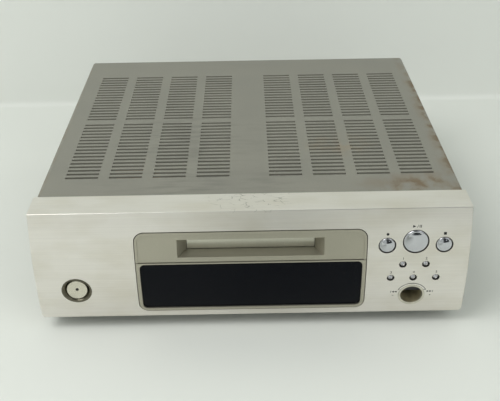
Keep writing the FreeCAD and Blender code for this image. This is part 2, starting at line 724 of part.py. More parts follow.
def selector_rotor():
    """Socket that takes the knob's stem and turns the encoder."""
    x, z = CONTROL_X, BASE_Z + SELECTOR_Z
    back = ROTOR_FRONT + ROTOR_LENGTH
    body = rod_y(ROTOR_RADIUS, ROTOR_FRONT, back, x, z)
    shaft = rod_y(SHAFT_RADIUS, back - 1, KEY_BOARD_Y - SELECTOR_TRAVEL - 1, x, z)
    return body.fuse(shaft).cut(rod_y(ROTOR_BORE_RADIUS, AHEAD, ROTOR_FRONT + ROTOR_BORE_DEPTH, x,
                                      z)).removeSplitter()


def selector_pusher():
    """Collar behind the rotor that presses the encoder's switch."""
    x, z = CONTROL_X, BASE_Z + SELECTOR_Z
    collar = rod_y(PUSHER_RADIUS, PUSHER_FRONT, PUSHER_FRONT + PUSHER_LENGTH, x, z)
    return collar.cut(rod_y(SHAFT_RADIUS + SLIDE_PLAY, AHEAD, KEY_BOARD_Y, x, z))


def selector_encoder():
    """Encoder can with a short neck, on the key board."""
    x, z, half = CONTROL_X, BASE_Z + SELECTOR_Z, ENCODER_SIDE / 2
    can = around(x, z, half, half, ENCODER_Y, KEY_BOARD_Y)
    neck = rod_y(PUSHER_RADIUS, NECK_FRONT, ENCODER_Y, x, z)
    return can.fuse(neck).cut(rod_y(SHAFT_RADIUS + SLIDE_PLAY, AHEAD, KEY_BOARD_Y, x, z)).removeSplitter()


def key_board_area():
    low = BASE_Z + SELECTOR_Z - ENCODER_SIDE / 2
    return (CONTROL_X - KEY_BOARD_WIDTH / 2, CONTROL_X + KEY_BOARD_WIDTH / 2, low, low + KEY_BOARD_HEIGHT)


def power_key_board_area():
    low = BASE_Z + POWER_Z - POWER_KEY_BOARD_HEIGHT / 2
    return (POWER_X - POWER_KEY_BOARD_WIDTH / 2, POWER_X + POWER_KEY_BOARD_WIDTH / 2, low,
            low + POWER_KEY_BOARD_HEIGHT)


def display_board_area():
    low = BASE_Z + PLAQUE_BOTTOM
    return (-DISPLAY_BOARD_WIDTH / 2, DISPLAY_BOARD_WIDTH / 2, low, low + DISPLAY_BOARD_HEIGHT)


def upright_board(area, y):
    x0, x1, z0, z1 = area
    return box(x0, x1, y, y + BOARD_WALL, z0, z1)


def board_posts(area, y):
    """Corner posts of the frame that carry an upright board."""
    x0, x1, z0, z1 = area
    inset = POST_INSET
    return [rod_y(POST_RADIUS, FRAME_Y, y, x, z) for x in (x0 + inset, x1 - inset)
            for z in (z0 + inset, z1 - inset)]


def front_frame():
    """Moulded plate behind the panel that guides the keys and carries the boards."""
    top = FACE_TOP - LEDGE_WALL
    low = FLOOR_TOP + FIT
    plate = across(FRAME_HALF, FRAME_Y, FRAME_BACK, low, top)
    shelf = across(FRAME_HALF, FRAME_Y, COVER_FRONT + BOARD_MARGIN, top - FRAME_WALL, top)
    rest = across(FRAME_HALF - COVER_BEND, COVER_FRONT, COVER_FRONT + BOARD_MARGIN, top - FRAME_WALL,
                  COVER_TOP - SHEET - SEAT)
    foot = across(FRAME_HALF, FRAME_Y, FACE_Y + LEDGE_DEPTH, low, low + FRAME_WALL)
    posts = board_posts(key_board_area(), KEY_BOARD_Y) + board_posts(power_key_board_area(), BOARD_Y)
    posts += board_posts(display_board_area(), BOARD_Y)
    holes = [across(THROAT_WIDTH / 2, AHEAD, FRAME_BACK + 1, BASE_Z + THROAT_BOTTOM, BASE_Z + MOUTH_TOP)]
    holes.append(across(TUBE_WIDTH / 2 + FIT, AHEAD, FRAME_BACK + 1, tube_low() - FIT,
                        tube_low() + TUBE_HEIGHT + FIT))
    guides = []
    places = [(x, z, KEY_STEM_RADIUS) for x, z, _ in big_keys().values()]
    places += [(x, z, SMALL_KEY_STEM_RADIUS) for x, z in small_keys().values()]
    places.append((POWER_X, POWER_Z, KEY_STEM_RADIUS))
    for x, z, radius in places:
        bore = radius + SLIDE_PLAY
        guides.append(rod_y(bore + GUIDE_WALL, FRAME_Y, FRAME_BACK + GUIDE_LENGTH, x, BASE_Z + z))
        holes.append(rod_y(bore, AHEAD, KEY_BOARD_Y, x, BASE_Z + z))
    x, z = CONTROL_X, BASE_Z + SELECTOR_Z
    seat = WELL_MOUTH_RADIUS + WELL_WALL + SEAT
    tube = PUSHER_RADIUS + SLIDE_PLAY
    guides.append(rod_y(seat + GUIDE_WALL, FRAME_Y, NECK_FRONT, x, z))
    holes += [rod_y(seat, AHEAD, WELL_FLOOR + SEAT, x, z), rod_y(tube, AHEAD, NECK_FRONT + 1, x, z)]
    return plate.fuse([shelf, rest, foot] + posts + guides).cut(holes).removeSplitter()


def key_switches():
    """A tact switch behind each key and the power button."""
    places = [(x, z, KEY_BOARD_Y) for x, z, _ in big_keys().values()]
    places += [(x, z, KEY_BOARD_Y) for x, z in small_keys().values()]
    places.append((POWER_X, POWER_Z, BOARD_Y))
    half = SWITCH_SIDE / 2
    made = []
    for x, z, y in places:
        body = around(x, BASE_Z + z, half, half, y - SWITCH_BODY, y)
        made.append(body.fuse(rod_y(SWITCH_NUB_RADIUS, switch_tip(y), y - SWITCH_BODY, x, BASE_Z + z)))
    return made


def tube_low():
    return BASE_Z + (PLAQUE_BOTTOM + PLAQUE_SPLIT - TUBE_HEIGHT) / 2


def display_tube():
    return across(TUBE_WIDTH / 2, BOARD_Y - TUBE_WALL, BOARD_Y, tube_low(), tube_low() + TUBE_HEIGHT)


def foot_places():
    front, rear = FACE_Y + FOOT_FRONT_INSET, REAR_Y - FOOT_REAR_INSET
    return [(x, y) for x in (-FOOT_X, FOOT_X) for y in (front, rear)]


def feet():
    made = []
    for x, y in foot_places():
        foot = Part.makeCone(FOOT_RADIUS - FOOT_TAPER, FOOT_RADIUS, FOOT_GAP - FOOT_PAD, V(x, y, FOOT_PAD))
        well = rod_z(FOOT_WELL_RADIUS, 0, FOOT_PAD + FOOT_WELL_DEPTH, x, y)
        made.append(foot.cut([well, rod_z(SCREW_RADIUS + SCREW_PLAY, 0, BASE_Z, x, y)]))
    return made


def foot_pads():
    return [rod_z(FOOT_PAD_RADIUS, 0, FOOT_PAD, x, y).cut(rod_z(FOOT_WELL_RADIUS, 0, FOOT_PAD, x, y))
            for x, y in foot_places()]


def screw(seat, way):
    """A pan-head screw: seat is the point under its head, way is where the shank goes."""
    top = seat - way * SCREW_HEAD
    cap = Part.makeCylinder(SCREW_HEAD_RADIUS, SCREW_HEAD, top, way)
    rim = [e for e in cap.Edges
           if isinstance(e.Curve, Part.Circle) and (e.CenterOfMass - top).Length < SCREW_HEAD / 2]
    cap = cap.makeFillet(SCREW_HEAD / 2, rim)
    side = V(0, 0, 1) if abs(way.z) < 0.5 else V(1, 0, 0)
    slots = []
    for along in (side, way.cross(side)):
        thick = way.cross(along) * SCREW_CROSS_WIDTH
        start = top - along * SCREW_CROSS / 2 - thick / 2
        corners = [start, start + along * SCREW_CROSS, start + along * SCREW_CROSS + thick, start + thick]
        slots.append(prism(corners, way * SCREW_CROSS_DEPTH))
    return cap.fuse(Part.makeCylinder(SCREW_RADIUS, SCREW_LENGTH, seat, way)).cut(slots).removeSplitter()


def side_screws():
    """Place under the head and direction of each screw in the cover's sides."""
    z = BASE_Z + SIDE_SCREW_HEIGHT
    return [(V(side * COVER_WIDTH / 2, y, z), V(-side, 0, 0)) for side in (-1, 1)
            for y in (COVER_FRONT + SIDE_SCREW_INSET, COVER_BACK - SIDE_SCREW_INSET)]


def rear_screws():
    """Place and direction of each screw in the rear panel."""
    high, low = COVER_TOP - SHEET * 2 - REAR_SCREW_INSET, FLOOR_TOP + REAR_SCREW_INSET
    places = [(-REAR_SCREW_X, high), (0.0, high), (REAR_SCREW_X, high), (-REAR_SCREW_X, low),
              (REAR_SCREW_X, low)]
    return [(V(x, REAR_Y, z), V(0, -1, 0)) for x, z in places]


def foot_screws():
    return [(V(x, y, FOOT_PAD + FOOT_WELL_DEPTH), V(0, 0, 1)) for x, y in foot_places()]


def case_screws():
    return [screw(*place) for place in side_screws() + rear_screws() + foot_screws()]


def screw_holes():
    """Clearance for the shank of every case screw."""
    reach = SCREW_LENGTH + SHEET
    return [Part.makeCylinder(SCREW_RADIUS + SCREW_PLAY, 2 * reach, seat - way * reach, way)
            for seat, way in side_screws() + rear_screws() + foot_screws()]


def top_cover():
    """Folded steel sheet over the top and both sides, with two fields of vent slots."""
    half, ends = COVER_WIDTH / 2, (COVER_FRONT, COVER_BACK)
    outer = across(half, *ends, BASE_Z + COVER_HEM, COVER_TOP)
    inner = across(half - SHEET, *ends, BASE_Z, COVER_TOP - SHEET)
    bends = [e for e in edges_along(outer, V(0, 1, 0)) if e.CenterOfMass.z > COVER_TOP - SHEET / 2]
    hollow = [e for e in edges_along(inner, V(0, 1, 0)) if e.CenterOfMass.z > COVER_TOP - 2 * SHEET]
    shell = outer.makeFillet(COVER_BEND, bends).cut(inner.makeFillet(COVER_BEND - SHEET, hollow))
    slots = []
    for column in range(SLOT_COLUMNS):
        x0 = SLOT_INNER_X + column * SLOT_COLUMN_PITCH
        for row in range(2 * SLOT_ROWS + 1):
            if row != SLOT_ROWS:
                y0 = COVER_FRONT + SLOT_FIRST_Y + row * SLOT_ROW_PITCH - SLOT_WIDTH / 2
                slot = box(x0, x0 + SLOT_LENGTH, y0, y0 + SLOT_WIDTH, COVER_TOP - 2 * SHEET,
                           COVER_TOP + SHEET)
                slots += [slot, mirrored(slot)]
    return shell.cut(Part.makeCompound(slots)).cut(screw_holes())


def board_areas():
    """Corners of the main board and the power board."""
    back = REAR_Y - 2 * SHEET - BOARD_MARGIN
    edge = INSIDE_X - BOARD_MARGIN
    split = POWER_BOARD_WIDTH - edge
    main = (split + BOARD_GAP, edge, back - MAIN_BOARD_DEPTH, back)
    power = (-edge, split, back - POWER_BOARD_DEPTH, back)
    return main, power


def standoff_places():
    inset = STANDOFF_INSET
    return [(x, y) for x0, x1, y0, y1 in board_areas() for x in (x0 + inset, x1 - inset)
            for y in (y0 + inset, y1 - inset)]


def bottom_chassis():
    """Steel tray with upturned sides, a rear flange, standoffs and a row of slots."""
    half = INSIDE_X - SEAT
    front, back = face_y(0) + LIP_DEPTH + FIT, REAR_Y - SHEET - SEAT
    top = FLOOR_TOP + FLANGE_HEIGHT
    wall = box(half - SHEET, half, COVER_FRONT, back, BASE_Z, top)
    rear = across(half, back - SHEET, back, BASE_Z, top)
    posts = [rod_z(STANDOFF_RADIUS, BASE_Z, FLOOR_TOP + STANDOFF_HEIGHT, x, y) for x, y in standoff_places()]
    vents = []
    for i in range(FLOOR_SLOTS):
        x = (i - (FLOOR_SLOTS - 1) / 2) * FLOOR_SLOT_PITCH
        vents.append(box(x - FLOOR_SLOT_WIDTH / 2, x + FLOOR_SLOT_WIDTH / 2, DISC_Y - FLOOR_SLOT_LENGTH / 2,
                         DISC_Y + FLOOR_SLOT_LENGTH / 2, 0, FLOOR_TOP))
    tongue = across(FRAME_HALF, front, COVER_FRONT, BASE_Z, FLOOR_TOP)
    tray = across(half, COVER_FRONT, back, BASE_Z,
                  FLOOR_TOP).fuse([tongue, wall, mirrored(wall), rear] + posts)
    return tray.cut(vents + screw_holes()).removeSplitter()


def flat_board(area):
    x0, x1, y0, y1 = area
    z = FLOOR_TOP + STANDOFF_HEIGHT
    return box(x0, x1, y0, y1, z, z + BOARD_WALL)


def rear_panel():
    """Steel rear panel with a folded top lip and cut-outs for the sockets."""
    half, top = INSIDE_X - SEAT, COVER_TOP - SHEET - SEAT
    plate = across(half, REAR_Y - SHEET, REAR_Y, BASE_Z, top)
    bends = [e for e in edges_along(plate, V(0, 1, 0)) if e.CenterOfMass.z > top - SHEET]
    plate = plate.makeFillet(COVER_BEND, bends)
    lip = across(half - COVER_BEND, REAR_Y - REAR_LIP, REAR_Y, top - SHEET, top)
    y0, y1 = REAR_Y - 2 * SHEET, REAR_Y + SHEET
    cuts = [around(INLET_X, BASE_Z + INLET_Z, INLET_WIDTH / 2 + SEAT, INLET_HEIGHT / 2 + SEAT, y0, y1)]
    side = OPTICAL_SIDE / 2 + SEAT
    cuts += [around(x, BASE_Z + OPTICAL_Z, side, side, y0, y1) for x in optical_places()]
    cuts += [rod_y(RCA_SHELL_RADIUS + RCA_FLANGE + SEAT, y0, y1, x, z) for x, z in line_places()]
    return plate.fuse(lip).cut(cuts + screw_holes()).removeSplitter()


def line_places():
    """X and Z of the four line sockets."""
    return [(RCA_X + i * RCA_SPACING, BASE_Z + RCA_LOW_Z + j * RCA_ROW) for i in (0, 1) for j in (0, 1)]


def line_socket_block():
    """Moulded block that carries the four line sockets."""
    low, high = BASE_Z + RCA_LOW_Z - RCA_ROW / 2, BASE_Z + RCA_LOW_Z + RCA_ROW * 1.5
    front = REAR_Y - SHEET - RCA_BLOCK_DEPTH
    block = box(RCA_X - RCA_SPACING / 2, RCA_X + RCA_SPACING * 1.5, front, REAR_Y - SHEET - SEAT, low, high)
    collar, bore = RCA_SHELL_RADIUS + RCA_FLANGE, RCA_SHELL_RADIUS - RCA_SHELL_STEP
    collars = [rod_y(collar, front + RCA_HOLE_FLOOR, REAR_Y + RCA_FLANGE_PROUD, x, z)
               for x, z in line_places()]
    bores = [rod_y(bore, front + RCA_HOLE_FLOOR, REAR_Y + JACK_PROUD, x, z) for x, z in line_places()]
    return block.fuse(collars).cut(bores).removeSplitter()


def line_socket_shells():
    """Plated outer shell of each line socket, a step narrower inside the block."""
    start, end = REAR_Y - SHEET - RCA_BLOCK_DEPTH + RCA_HOLE_FLOOR, REAR_Y + JACK_PROUD
    step = REAR_Y + RCA_FLANGE_PROUD + RCA_STEP_GAP
    made = []
    for x, z in line_places():
        shell = rod_y(RCA_SHELL_RADIUS, step, end, x, z)
        shell = shell.fuse(rod_y(RCA_SHELL_RADIUS - RCA_SHELL_STEP, start, step, x, z))
        made.append(shell.cut(rod_y(RCA_SHELL_RADIUS - RCA_SHELL_WALL, start, end, x, z)).removeSplitter())
    return made


def line_socket_inserts(column):
    """Insulators with the centre hole, one column of line sockets."""
    start, end = REAR_Y - SHEET - RCA_BLOCK_DEPTH + RCA_HOLE_FLOOR, REAR_Y + JACK_PROUD - SEAT
    return [rod_y(RCA_SHELL_RADIUS - RCA_SHELL_WALL, start, end, x, z).cut(
        rod_y(RCA_HOLE_RADIUS, start + RCA_HOLE_FLOOR, end, x, z)) for x, z in line_places()[column::2]]


def optical_places():
    return [OPTICAL_X, OPTICAL_X + OPTICAL_SPACING]


def shutter_axis():
    """Y and Z of the hinge line of an optical socket's shutter."""
    return (REAR_Y + OPTICAL_PROUD - SHUTTER_SETBACK,
            BASE_Z + OPTICAL_Z + OPTICAL_OPENING / 2 - 2 * SHUTTER_PIN_RADIUS)


def optical_sockets():
    """Two square optical sockets with a pocket each."""
    made = []
    half, hole = OPTICAL_SIDE / 2, OPTICAL_OPENING / 2
    front, back = REAR_Y - SHEET - OPTICAL_DEPTH, REAR_Y + OPTICAL_PROUD
    for x in optical_places():
        body = around(x, BASE_Z + OPTICAL_Z, half, half, front, back)
        pocket = around(x, BASE_Z + OPTICAL_Z, hole, hole, front + OPTICAL_FLOOR, back)
        pin = rod_x(SHUTTER_PIN_RADIUS + PIVOT_PLAY, x - hole - 1, x + hole + 1, *shutter_axis())
        made.append(body.cut([pocket, pin]).removeSplitter())
    return made


def optical_shutter(x):
    """Flap that hangs at the mouth of an optical socket and swings inwards."""
    y, z = shutter_axis()
    half = OPTICAL_OPENING / 2 - 2 * PIVOT_PLAY
    low = BASE_Z + OPTICAL_Z - OPTICAL_OPENING / 2 + 4 * PIVOT_PLAY
    flap = box(x - half, x + half, y - SHUTTER_WALL / 2, y + SHUTTER_WALL / 2, low, z)
    reach = OPTICAL_OPENING / 2 + 1 - PIVOT_PLAY
    return flap.fuse(rod_x(SHUTTER_PIN_RADIUS, x - reach, x + reach, y, z)).removeSplitter()


def inlet_pins():
    start, end = REAR_Y - SHEET - INLET_DEPTH - INLET_PIN_TAIL, REAR_Y + INLET_PROUD - INLET_PIN_SETBACK
    return [rod_y(INLET_PIN_RADIUS, start, end, INLET_X + s * INLET_PIN_SPACING / 2, BASE_Z + INLET_Z)
            for s in (-1, 1)]


def mains_inlet():
    """Two-pin mains inlet with a two-lobed socket."""
    z = BASE_Z + INLET_Z
    front, back = REAR_Y - SHEET - INLET_DEPTH, REAR_Y + INLET_PROUD
    body = around(INLET_X, z, INLET_WIDTH / 2, INLET_HEIGHT / 2, front, back)
    body = body.makeFillet(INLET_CORNER, edges_along(body, V(0, 1, 0)))
    lobe = INLET_OPENING_HEIGHT / 2
    reach = INLET_OPENING_WIDTH / 2 - lobe
    socket = [rod_y(lobe, front + INLET_FLOOR, back, INLET_X + s * reach, z) for s in (-1, 1)]
    socket.append(around(INLET_X, z, reach, lobe * INLET_WAIST, front + INLET_FLOOR, back))
    return body.cut(socket + inlet_pins()).removeSplitter()


def transformer_parts():
    """Laminated core on two feet, and the winding round its middle limb."""
    x, y, z0, z1 = TRANSFORMER_X, REAR_Y - TRANSFORMER_REAR_INSET, FLOOR_TOP, FLOOR_TOP + CORE_HEIGHT
    half, stack, limb = CORE_WIDTH / 2, CORE_STACK / 2, CORE_LIMB
    core = box(x - half, x + half, y - stack, y + stack, z0, z1)
    windows = [box(x + side[0], x + side[1], y - stack, y + stack, z0 + limb, z1 - limb)
               for side in ((limb - half, -limb), (limb, half - limb))]
    foot = box(x - half - TRANSFORMER_FOOT, x + half + TRANSFORMER_FOOT, y - stack, y + stack, z0,
               z0 + 2 * SHEET)
    core = core.cut(windows).fuse(foot).removeSplitter()
    bulge = stack + COIL_BULGE
    coil = box(x - half + limb, x + half - limb, y - bulge, y + bulge, z0 + limb, z1 - limb)
    coil = coil.makeFillet(COIL_RADIUS, edges_along(coil, V(0, 0, 1)))
    bore = box(x - limb, x + limb, y - stack, y + stack, z0, z1)
    ends = [box(x - half, x + half, y + a, y + b, z, z + limb) for a, b in ((-bulge, -stack), (stack, bulge))
            for z in (z0, z1 - limb)]
    return core, coil.cut([bore] + ends)


def power_parts():
    """Upright capacitors on the power board."""
    x0, _, y0, _ = board_areas()[1]
    z = FLOOR_TOP + STANDOFF_HEIGHT + BOARD_WALL
    big, small, step = CAPACITOR_RADIUS, SMALL_CAPACITOR_RADIUS, CAPACITOR_PITCH
    places = [x0 + step * (i + 1) for i in range(POWER_CAPACITORS)]
    row = y0 + 3 * big + 1.5 * small
    made = [rod_z(big, z, z + CAPACITOR_HEIGHT, x, y0 + 2 * big) for x in places]
    return made + [rod_z(small, z, z + SMALL_CAPACITOR_HEIGHT, x, row) for x in places]


def heat_sink():
    """Finned heat sink that stands on the power board."""
    x0, x1, _, y1 = board_areas()[1]
    z = FLOOR_TOP + STANDOFF_HEIGHT + BOARD_WALL
    left, right, y = x0 + 2 * STANDOFF_INSET, x1 - 2 * STANDOFF_INSET, y1 - INLET_DEPTH - INLET_PIN_TAIL
    plate = box(left, right, y - SINK_WALL, y, z, z + SINK_HEIGHT)
    step = (right - left - SINK_FIN) / (SINK_FINS - 1)
    fins = [box(left + i * step, left + i * step + SINK_FIN, y - SINK_WALL - SINK_FIN_DEPTH, y, z,
                z + SINK_HEIGHT)
            for i in range(SINK_FINS)]
    return plate.fuse(fins).removeSplitter()


def main_chips():
    """Large chips and small capacitors on the main board."""
    x0, _, y0, _ = board_areas()[0]
    z = FLOOR_TOP + STANDOFF_HEIGHT + BOARD_WALL
    step = (shield_x() - x0) / MAIN_CHIPS
    made = []
    for i in range(MAIN_CHIPS):
        x = x0 + step * (i + 1)
        made.append(box(x - CHIP_SIDE, x, y0 + CHIP_SIDE, y0 + 2 * CHIP_SIDE, z, z + CHIP_WALL))
    radius, row = SMALL_CAPACITOR_RADIUS, y0 + 3 * CHIP_SIDE
    for i in range(MAIN_CAPACITORS):
        made.append(rod_z(radius, z, z + SMALL_CAPACITOR_HEIGHT, x0 + CHIP_SIDE + i * 4 * radius, row))
    return made


def shield_x():
    """Left side of the shield can."""
    return board_areas()[0][1] - 2 * STANDOFF_INSET - SHIELD_WIDTH


def shield_can():
    """Folded shield can over the audio converters."""
    y0 = board_areas()[0][2]
    x, z = shield_x(), FLOOR_TOP + STANDOFF_HEIGHT + BOARD_WALL
    can = box(x, x + SHIELD_WIDTH, y0 + CHIP_SIDE, y0 + CHIP_SIDE + SHIELD_DEPTH, z, z + SHIELD_HEIGHT)
    wall = SHEET / 2
    room = box(x + wall, x + SHIELD_WIDTH - wall, y0 + CHIP_SIDE + wall, y0 + CHIP_SIDE + SHIELD_DEPTH - wall,
               z, z + SHIELD_HEIGHT - wall)
    return can.cut(room)


def ribbon(x, route):
    """A flat lead that follows square turns, given as (y, z) points of its lower left line."""
    runs = []
    for (ya, za), (yb, zb) in zip(route, route[1:]):
        runs.append(box(x - RIBBON_WIDTH / 2, x + RIBBON_WIDTH / 2, min(ya, yb), max(ya, yb) + RIBBON_WALL,
                        min(za, zb), max(za, zb) + RIBBON_WALL))
    return runs[0].fuse(runs[1:]).removeSplitter()


def ribbons():
    """Leads from the key board and from the drive to the main board."""
    board_top = FLOOR_TOP + STANDOFF_HEIGHT + BOARD_WALL
    edge = board_areas()[0][2] + CHIP_SIDE / 2
    rise = board_top + SHIELD_HEIGHT / 2
    key_back = KEY_BOARD_Y + BOARD_WALL
    key_z = BASE_Z + SELECTOR_Z + ENCODER_SIDE
    keys_lead = ribbon(KEY_RIBBON_X, [(key_back, key_z), (key_back + FIT, key_z),
                                      (key_back + FIT, FLOOR_TOP + SEAT),
                                      (edge - CHIP_SIDE, FLOOR_TOP + SEAT), (edge - CHIP_SIDE, rise),
                                      (edge, rise),
                                      (edge, board_top)])
    start = DISC_Y + BASE_REAR
    drive_lead = ribbon(DRIVE_RIBBON_X, [(start, BASE_LOW), (start + CHIP_SIDE / 2, BASE_LOW),
                                         (start + CHIP_SIDE / 2, rise), (edge, rise), (edge, board_top)])
    return [keys_lead, drive_lead]


def gear(teeth, aim, z0, z1, x, y, bore):
    """An involute gear with a tooth's middle at an angle, its teeth thinned for backlash."""
    pitch = GEAR_MODULE * teeth / 2
    base = pitch * math.cos(math.radians(PRESSURE_ANGLE))
    root, tip = pitch - GEAR_DEDENDUM, pitch + GEAR_ADDENDUM
    half = (GEAR_PITCH / 2 - BACKLASH) / 2 / pitch + math.tan(math.radians(PRESSURE_ANGLE)) \
        - math.radians(PRESSURE_ANGLE)
    flank = []
    for i in range(FLANK_STEPS + 1):
        r = max(base, root) + (tip - max(base, root)) * i / FLANK_STEPS
        roll = math.acos(base / r)
        flank.append((r, half - math.tan(roll) + roll))
    if root < base:
        flank.insert(0, (root, flank[0][1]))
    corners = []
    for tooth in range(teeth):
        middle = aim + 2 * math.pi * tooth / teeth
        both = [(r, middle - a) for r, a in flank] + [(r, middle + a) for r, a in reversed(flank)]
        corners += [V(x + r * math.cos(a), y + r * math.sin(a), z0) for r, a in both]
    return prism(corners, V(0, 0, z1 - z0)).cut(rod_z(bore, z0, z1, x, y))


def rack(count, width):
    """A rack along Y, from its back at x = -width to its pitch line at x = 0, first tooth at y = 0."""
    lean = math.tan(math.radians(PRESSURE_ANGLE))
    half = (GEAR_PITCH / 2 - BACKLASH) / 2
    corners = []
    for i in range(count):
        middle = i * GEAR_PITCH
        for x, way in ((-GEAR_DEDENDUM, -1), (GEAR_ADDENDUM, -1), (GEAR_ADDENDUM, 1), (-GEAR_DEDENDUM, 1)):
            corners.append((x, middle + way * (half - x * lean)))
    end = (count - 0.5) * GEAR_PITCH
    outline = [(-width, -GEAR_PITCH / 2), (-GEAR_DEDENDUM, -GEAR_PITCH / 2)] + corners
    outline += [(-GEAR_DEDENDUM, end), (-width, end)]
    return prism([V(x, y, 0) for x, y in outline], V(0, 0, GEAR_WALL))


def mate_aim(aim, teeth, way, mate_teeth):
    """Angle of a tooth of the mating gear that stands in a direction from a gear."""
    shift = 0.5 - (aim - way) * teeth / (2 * math.pi)
    return way + math.pi + shift * 2 * math.pi / mate_teeth


def loading_gear():
    low = LOADING_GEAR_TOP - GEAR_WALL
    return gear(LOADING_TEETH, math.pi, low, LOADING_GEAR_TOP, LOADING_GEAR_X, DISC_Y,
                AXLE_RADIUS + SLIDE_PLAY)


def loading_motor_y():
    return DISC_Y + LOADING_RADIUS + PINION_RADIUS


def loading_pinion():
    """Pinion and shaft of the loading motor."""
    aim = mate_aim(math.pi, LOADING_TEETH, math.pi / 2, PINION_TEETH)
    low, y = LOADING_GEAR_TOP - GEAR_WALL, loading_motor_y()
    wheel = gear(PINION_TEETH, aim, low, LOADING_GEAR_TOP, LOADING_GEAR_X, y, AXLE_RADIUS / 2)
    return wheel.fuse(rod_z(AXLE_RADIUS, low, BASE_TOP + MOTOR_HEIGHT / 2, LOADING_GEAR_X,
                            y)).removeSplitter()


def loading_motor():
    y, play = loading_motor_y(), AXLE_RADIUS + SLIDE_PLAY
    can = rod_z(MOTOR_RADIUS, BASE_TOP, BASE_TOP + MOTOR_HEIGHT, LOADING_GEAR_X, y)
    return can.cut(rod_z(play, BASE_TOP, BASE_TOP + MOTOR_HEIGHT / 2 + SEAT, LOADING_GEAR_X, y))


def sled_gear():
    """Pinion and shaft of the sled motor."""
    aim, top = -math.pi / 2, SLED_GEAR_LOW + GEAR_WALL
    wheel = gear(PINION_TEETH, aim, SLED_GEAR_LOW, top, SLED_GEAR_X, SLED_GEAR_Y, AXLE_RADIUS / 2)
    shaft = rod_z(AXLE_RADIUS, BASE_LOW - MOTOR_HEIGHT / 2, top, SLED_GEAR_X, SLED_GEAR_Y)
    return wheel.fuse(shaft).removeSplitter()


def sled_motor():
    can = rod_z(MOTOR_RADIUS, BASE_LOW - MOTOR_HEIGHT, BASE_LOW, SLED_GEAR_X, SLED_GEAR_Y)
    depth = BASE_LOW - MOTOR_HEIGHT / 2 - SEAT
    return can.cut(rod_z(AXLE_RADIUS + SLIDE_PLAY, depth, BASE_LOW, SLED_GEAR_X, SLED_GEAR_Y))


def cam_slider():
    """Two side plates with sloped slots, joined under the base by a bridge with a rack."""
    plate = box(CAM_IN, CAM_OUT, DISC_Y - CAM_FRONT, DISC_Y + CAM_REAR, BRIDGE_Z, HOLDER_TOP)
    low = PIN_Z - HOLDER_LIFT - CAM_WINDOW_MARGIN
    margin = CAM_WINDOW_MARGIN
    window = box(CAM_IN, CAM_OUT, DISC_Y + BRIDGE_LENGTH - CAM_FRONT + margin, DISC_Y + CAM_REAR - margin,
                 BRIDGE_Z + margin, low)
    slots = [window]
    slope = HOLDER_LIFT / CAM_TRAVEL
    for y in pin_places():
        high_end = (y + CAM_END, PIN_Z + CAM_END * slope)
        low_end = (y - CAM_TRAVEL - CAM_END, PIN_Z - HOLDER_LIFT - CAM_END * slope)
        run = V(0, high_end[0] - low_end[0], high_end[1] - low_end[1])
        off = V(1, 0, 0).cross(run) * (PIN_REACH / run.Length)
        a, b = V(CAM_IN, *high_end), V(CAM_IN, *low_end)
        slots += [prism([a + off, b + off, b - off, a - off], V(CAM_WALL, 0, 0)),
                  rod_x(PIN_REACH, CAM_IN, CAM_OUT, *high_end), rod_x(PIN_REACH, CAM_IN, CAM_OUT, *low_end)]
    plate = plate.cut(slots)
    bridge = across(CAM_OUT, DISC_Y - CAM_FRONT, DISC_Y + BRIDGE_LENGTH - CAM_FRONT, BRIDGE_Z, BRIDGE_TOP)
    teeth = math.ceil(CAM_TRAVEL / GEAR_PITCH) + 4
    first = DISC_Y + GEAR_PITCH / 2 + GEAR_PITCH - (teeth - 1) * GEAR_PITCH
    x = LOADING_GEAR_X - LOADING_RADIUS
    strip = rack(teeth, RACK_BODY + GEAR_DEDENDUM)
    strip.translate(V(x, first, LOADING_GEAR_TOP - GEAR_WALL))
    end = first + (teeth - 0.5) * GEAR_PITCH
    carrier = box(x - RACK_BODY - GEAR_DEDENDUM, x - GEAR_DEDENDUM, DISC_Y - CAM_FRONT, end, BRIDGE_Z,
                  LOADING_GEAR_TOP - GEAR_WALL)
    body = plate.fuse([mirrored(plate), bridge, carrier, strip])
    slot_back = STUD_SHANK + SLIDE_PLAY
    for side in (-1, 1):
        x = side * STUD_X
        y0, y1 = DISC_Y + STUD_Y - CAM_TRAVEL, DISC_Y + STUD_Y
        body = body.cut([box(x - slot_back, x + slot_back, y0, y1, BRIDGE_Z, BRIDGE_TOP),
                         rod_z(slot_back, BRIDGE_Z, BRIDGE_TOP, x, y0),
                         rod_z(slot_back, BRIDGE_Z, BRIDGE_TOP, x, y1)])
    return body.removeSplitter()


def slide_studs():
    """Shouldered studs under the base that carry the slider."""
    made = []
    for side in (-1, 1):
        place = (side * STUD_X, DISC_Y + STUD_Y)
        shoulder = rod_z(STUD_HEAD, BRIDGE_TOP + SEAT, BASE_LOW, *place)
        shank = rod_z(STUD_SHANK, BRIDGE_Z - SEAT, BRIDGE_TOP + SEAT, *place)
        head = rod_z(STUD_HEAD, BRIDGE_Z - SEAT - STUD_HEAD_WALL, BRIDGE_Z - SEAT, *place)
        made.append(shoulder.fuse([shank, head]).removeSplitter())
    return made


def pin_places():
    return [DISC_Y + PIN_FRONT, DISC_Y + PIN_REAR]


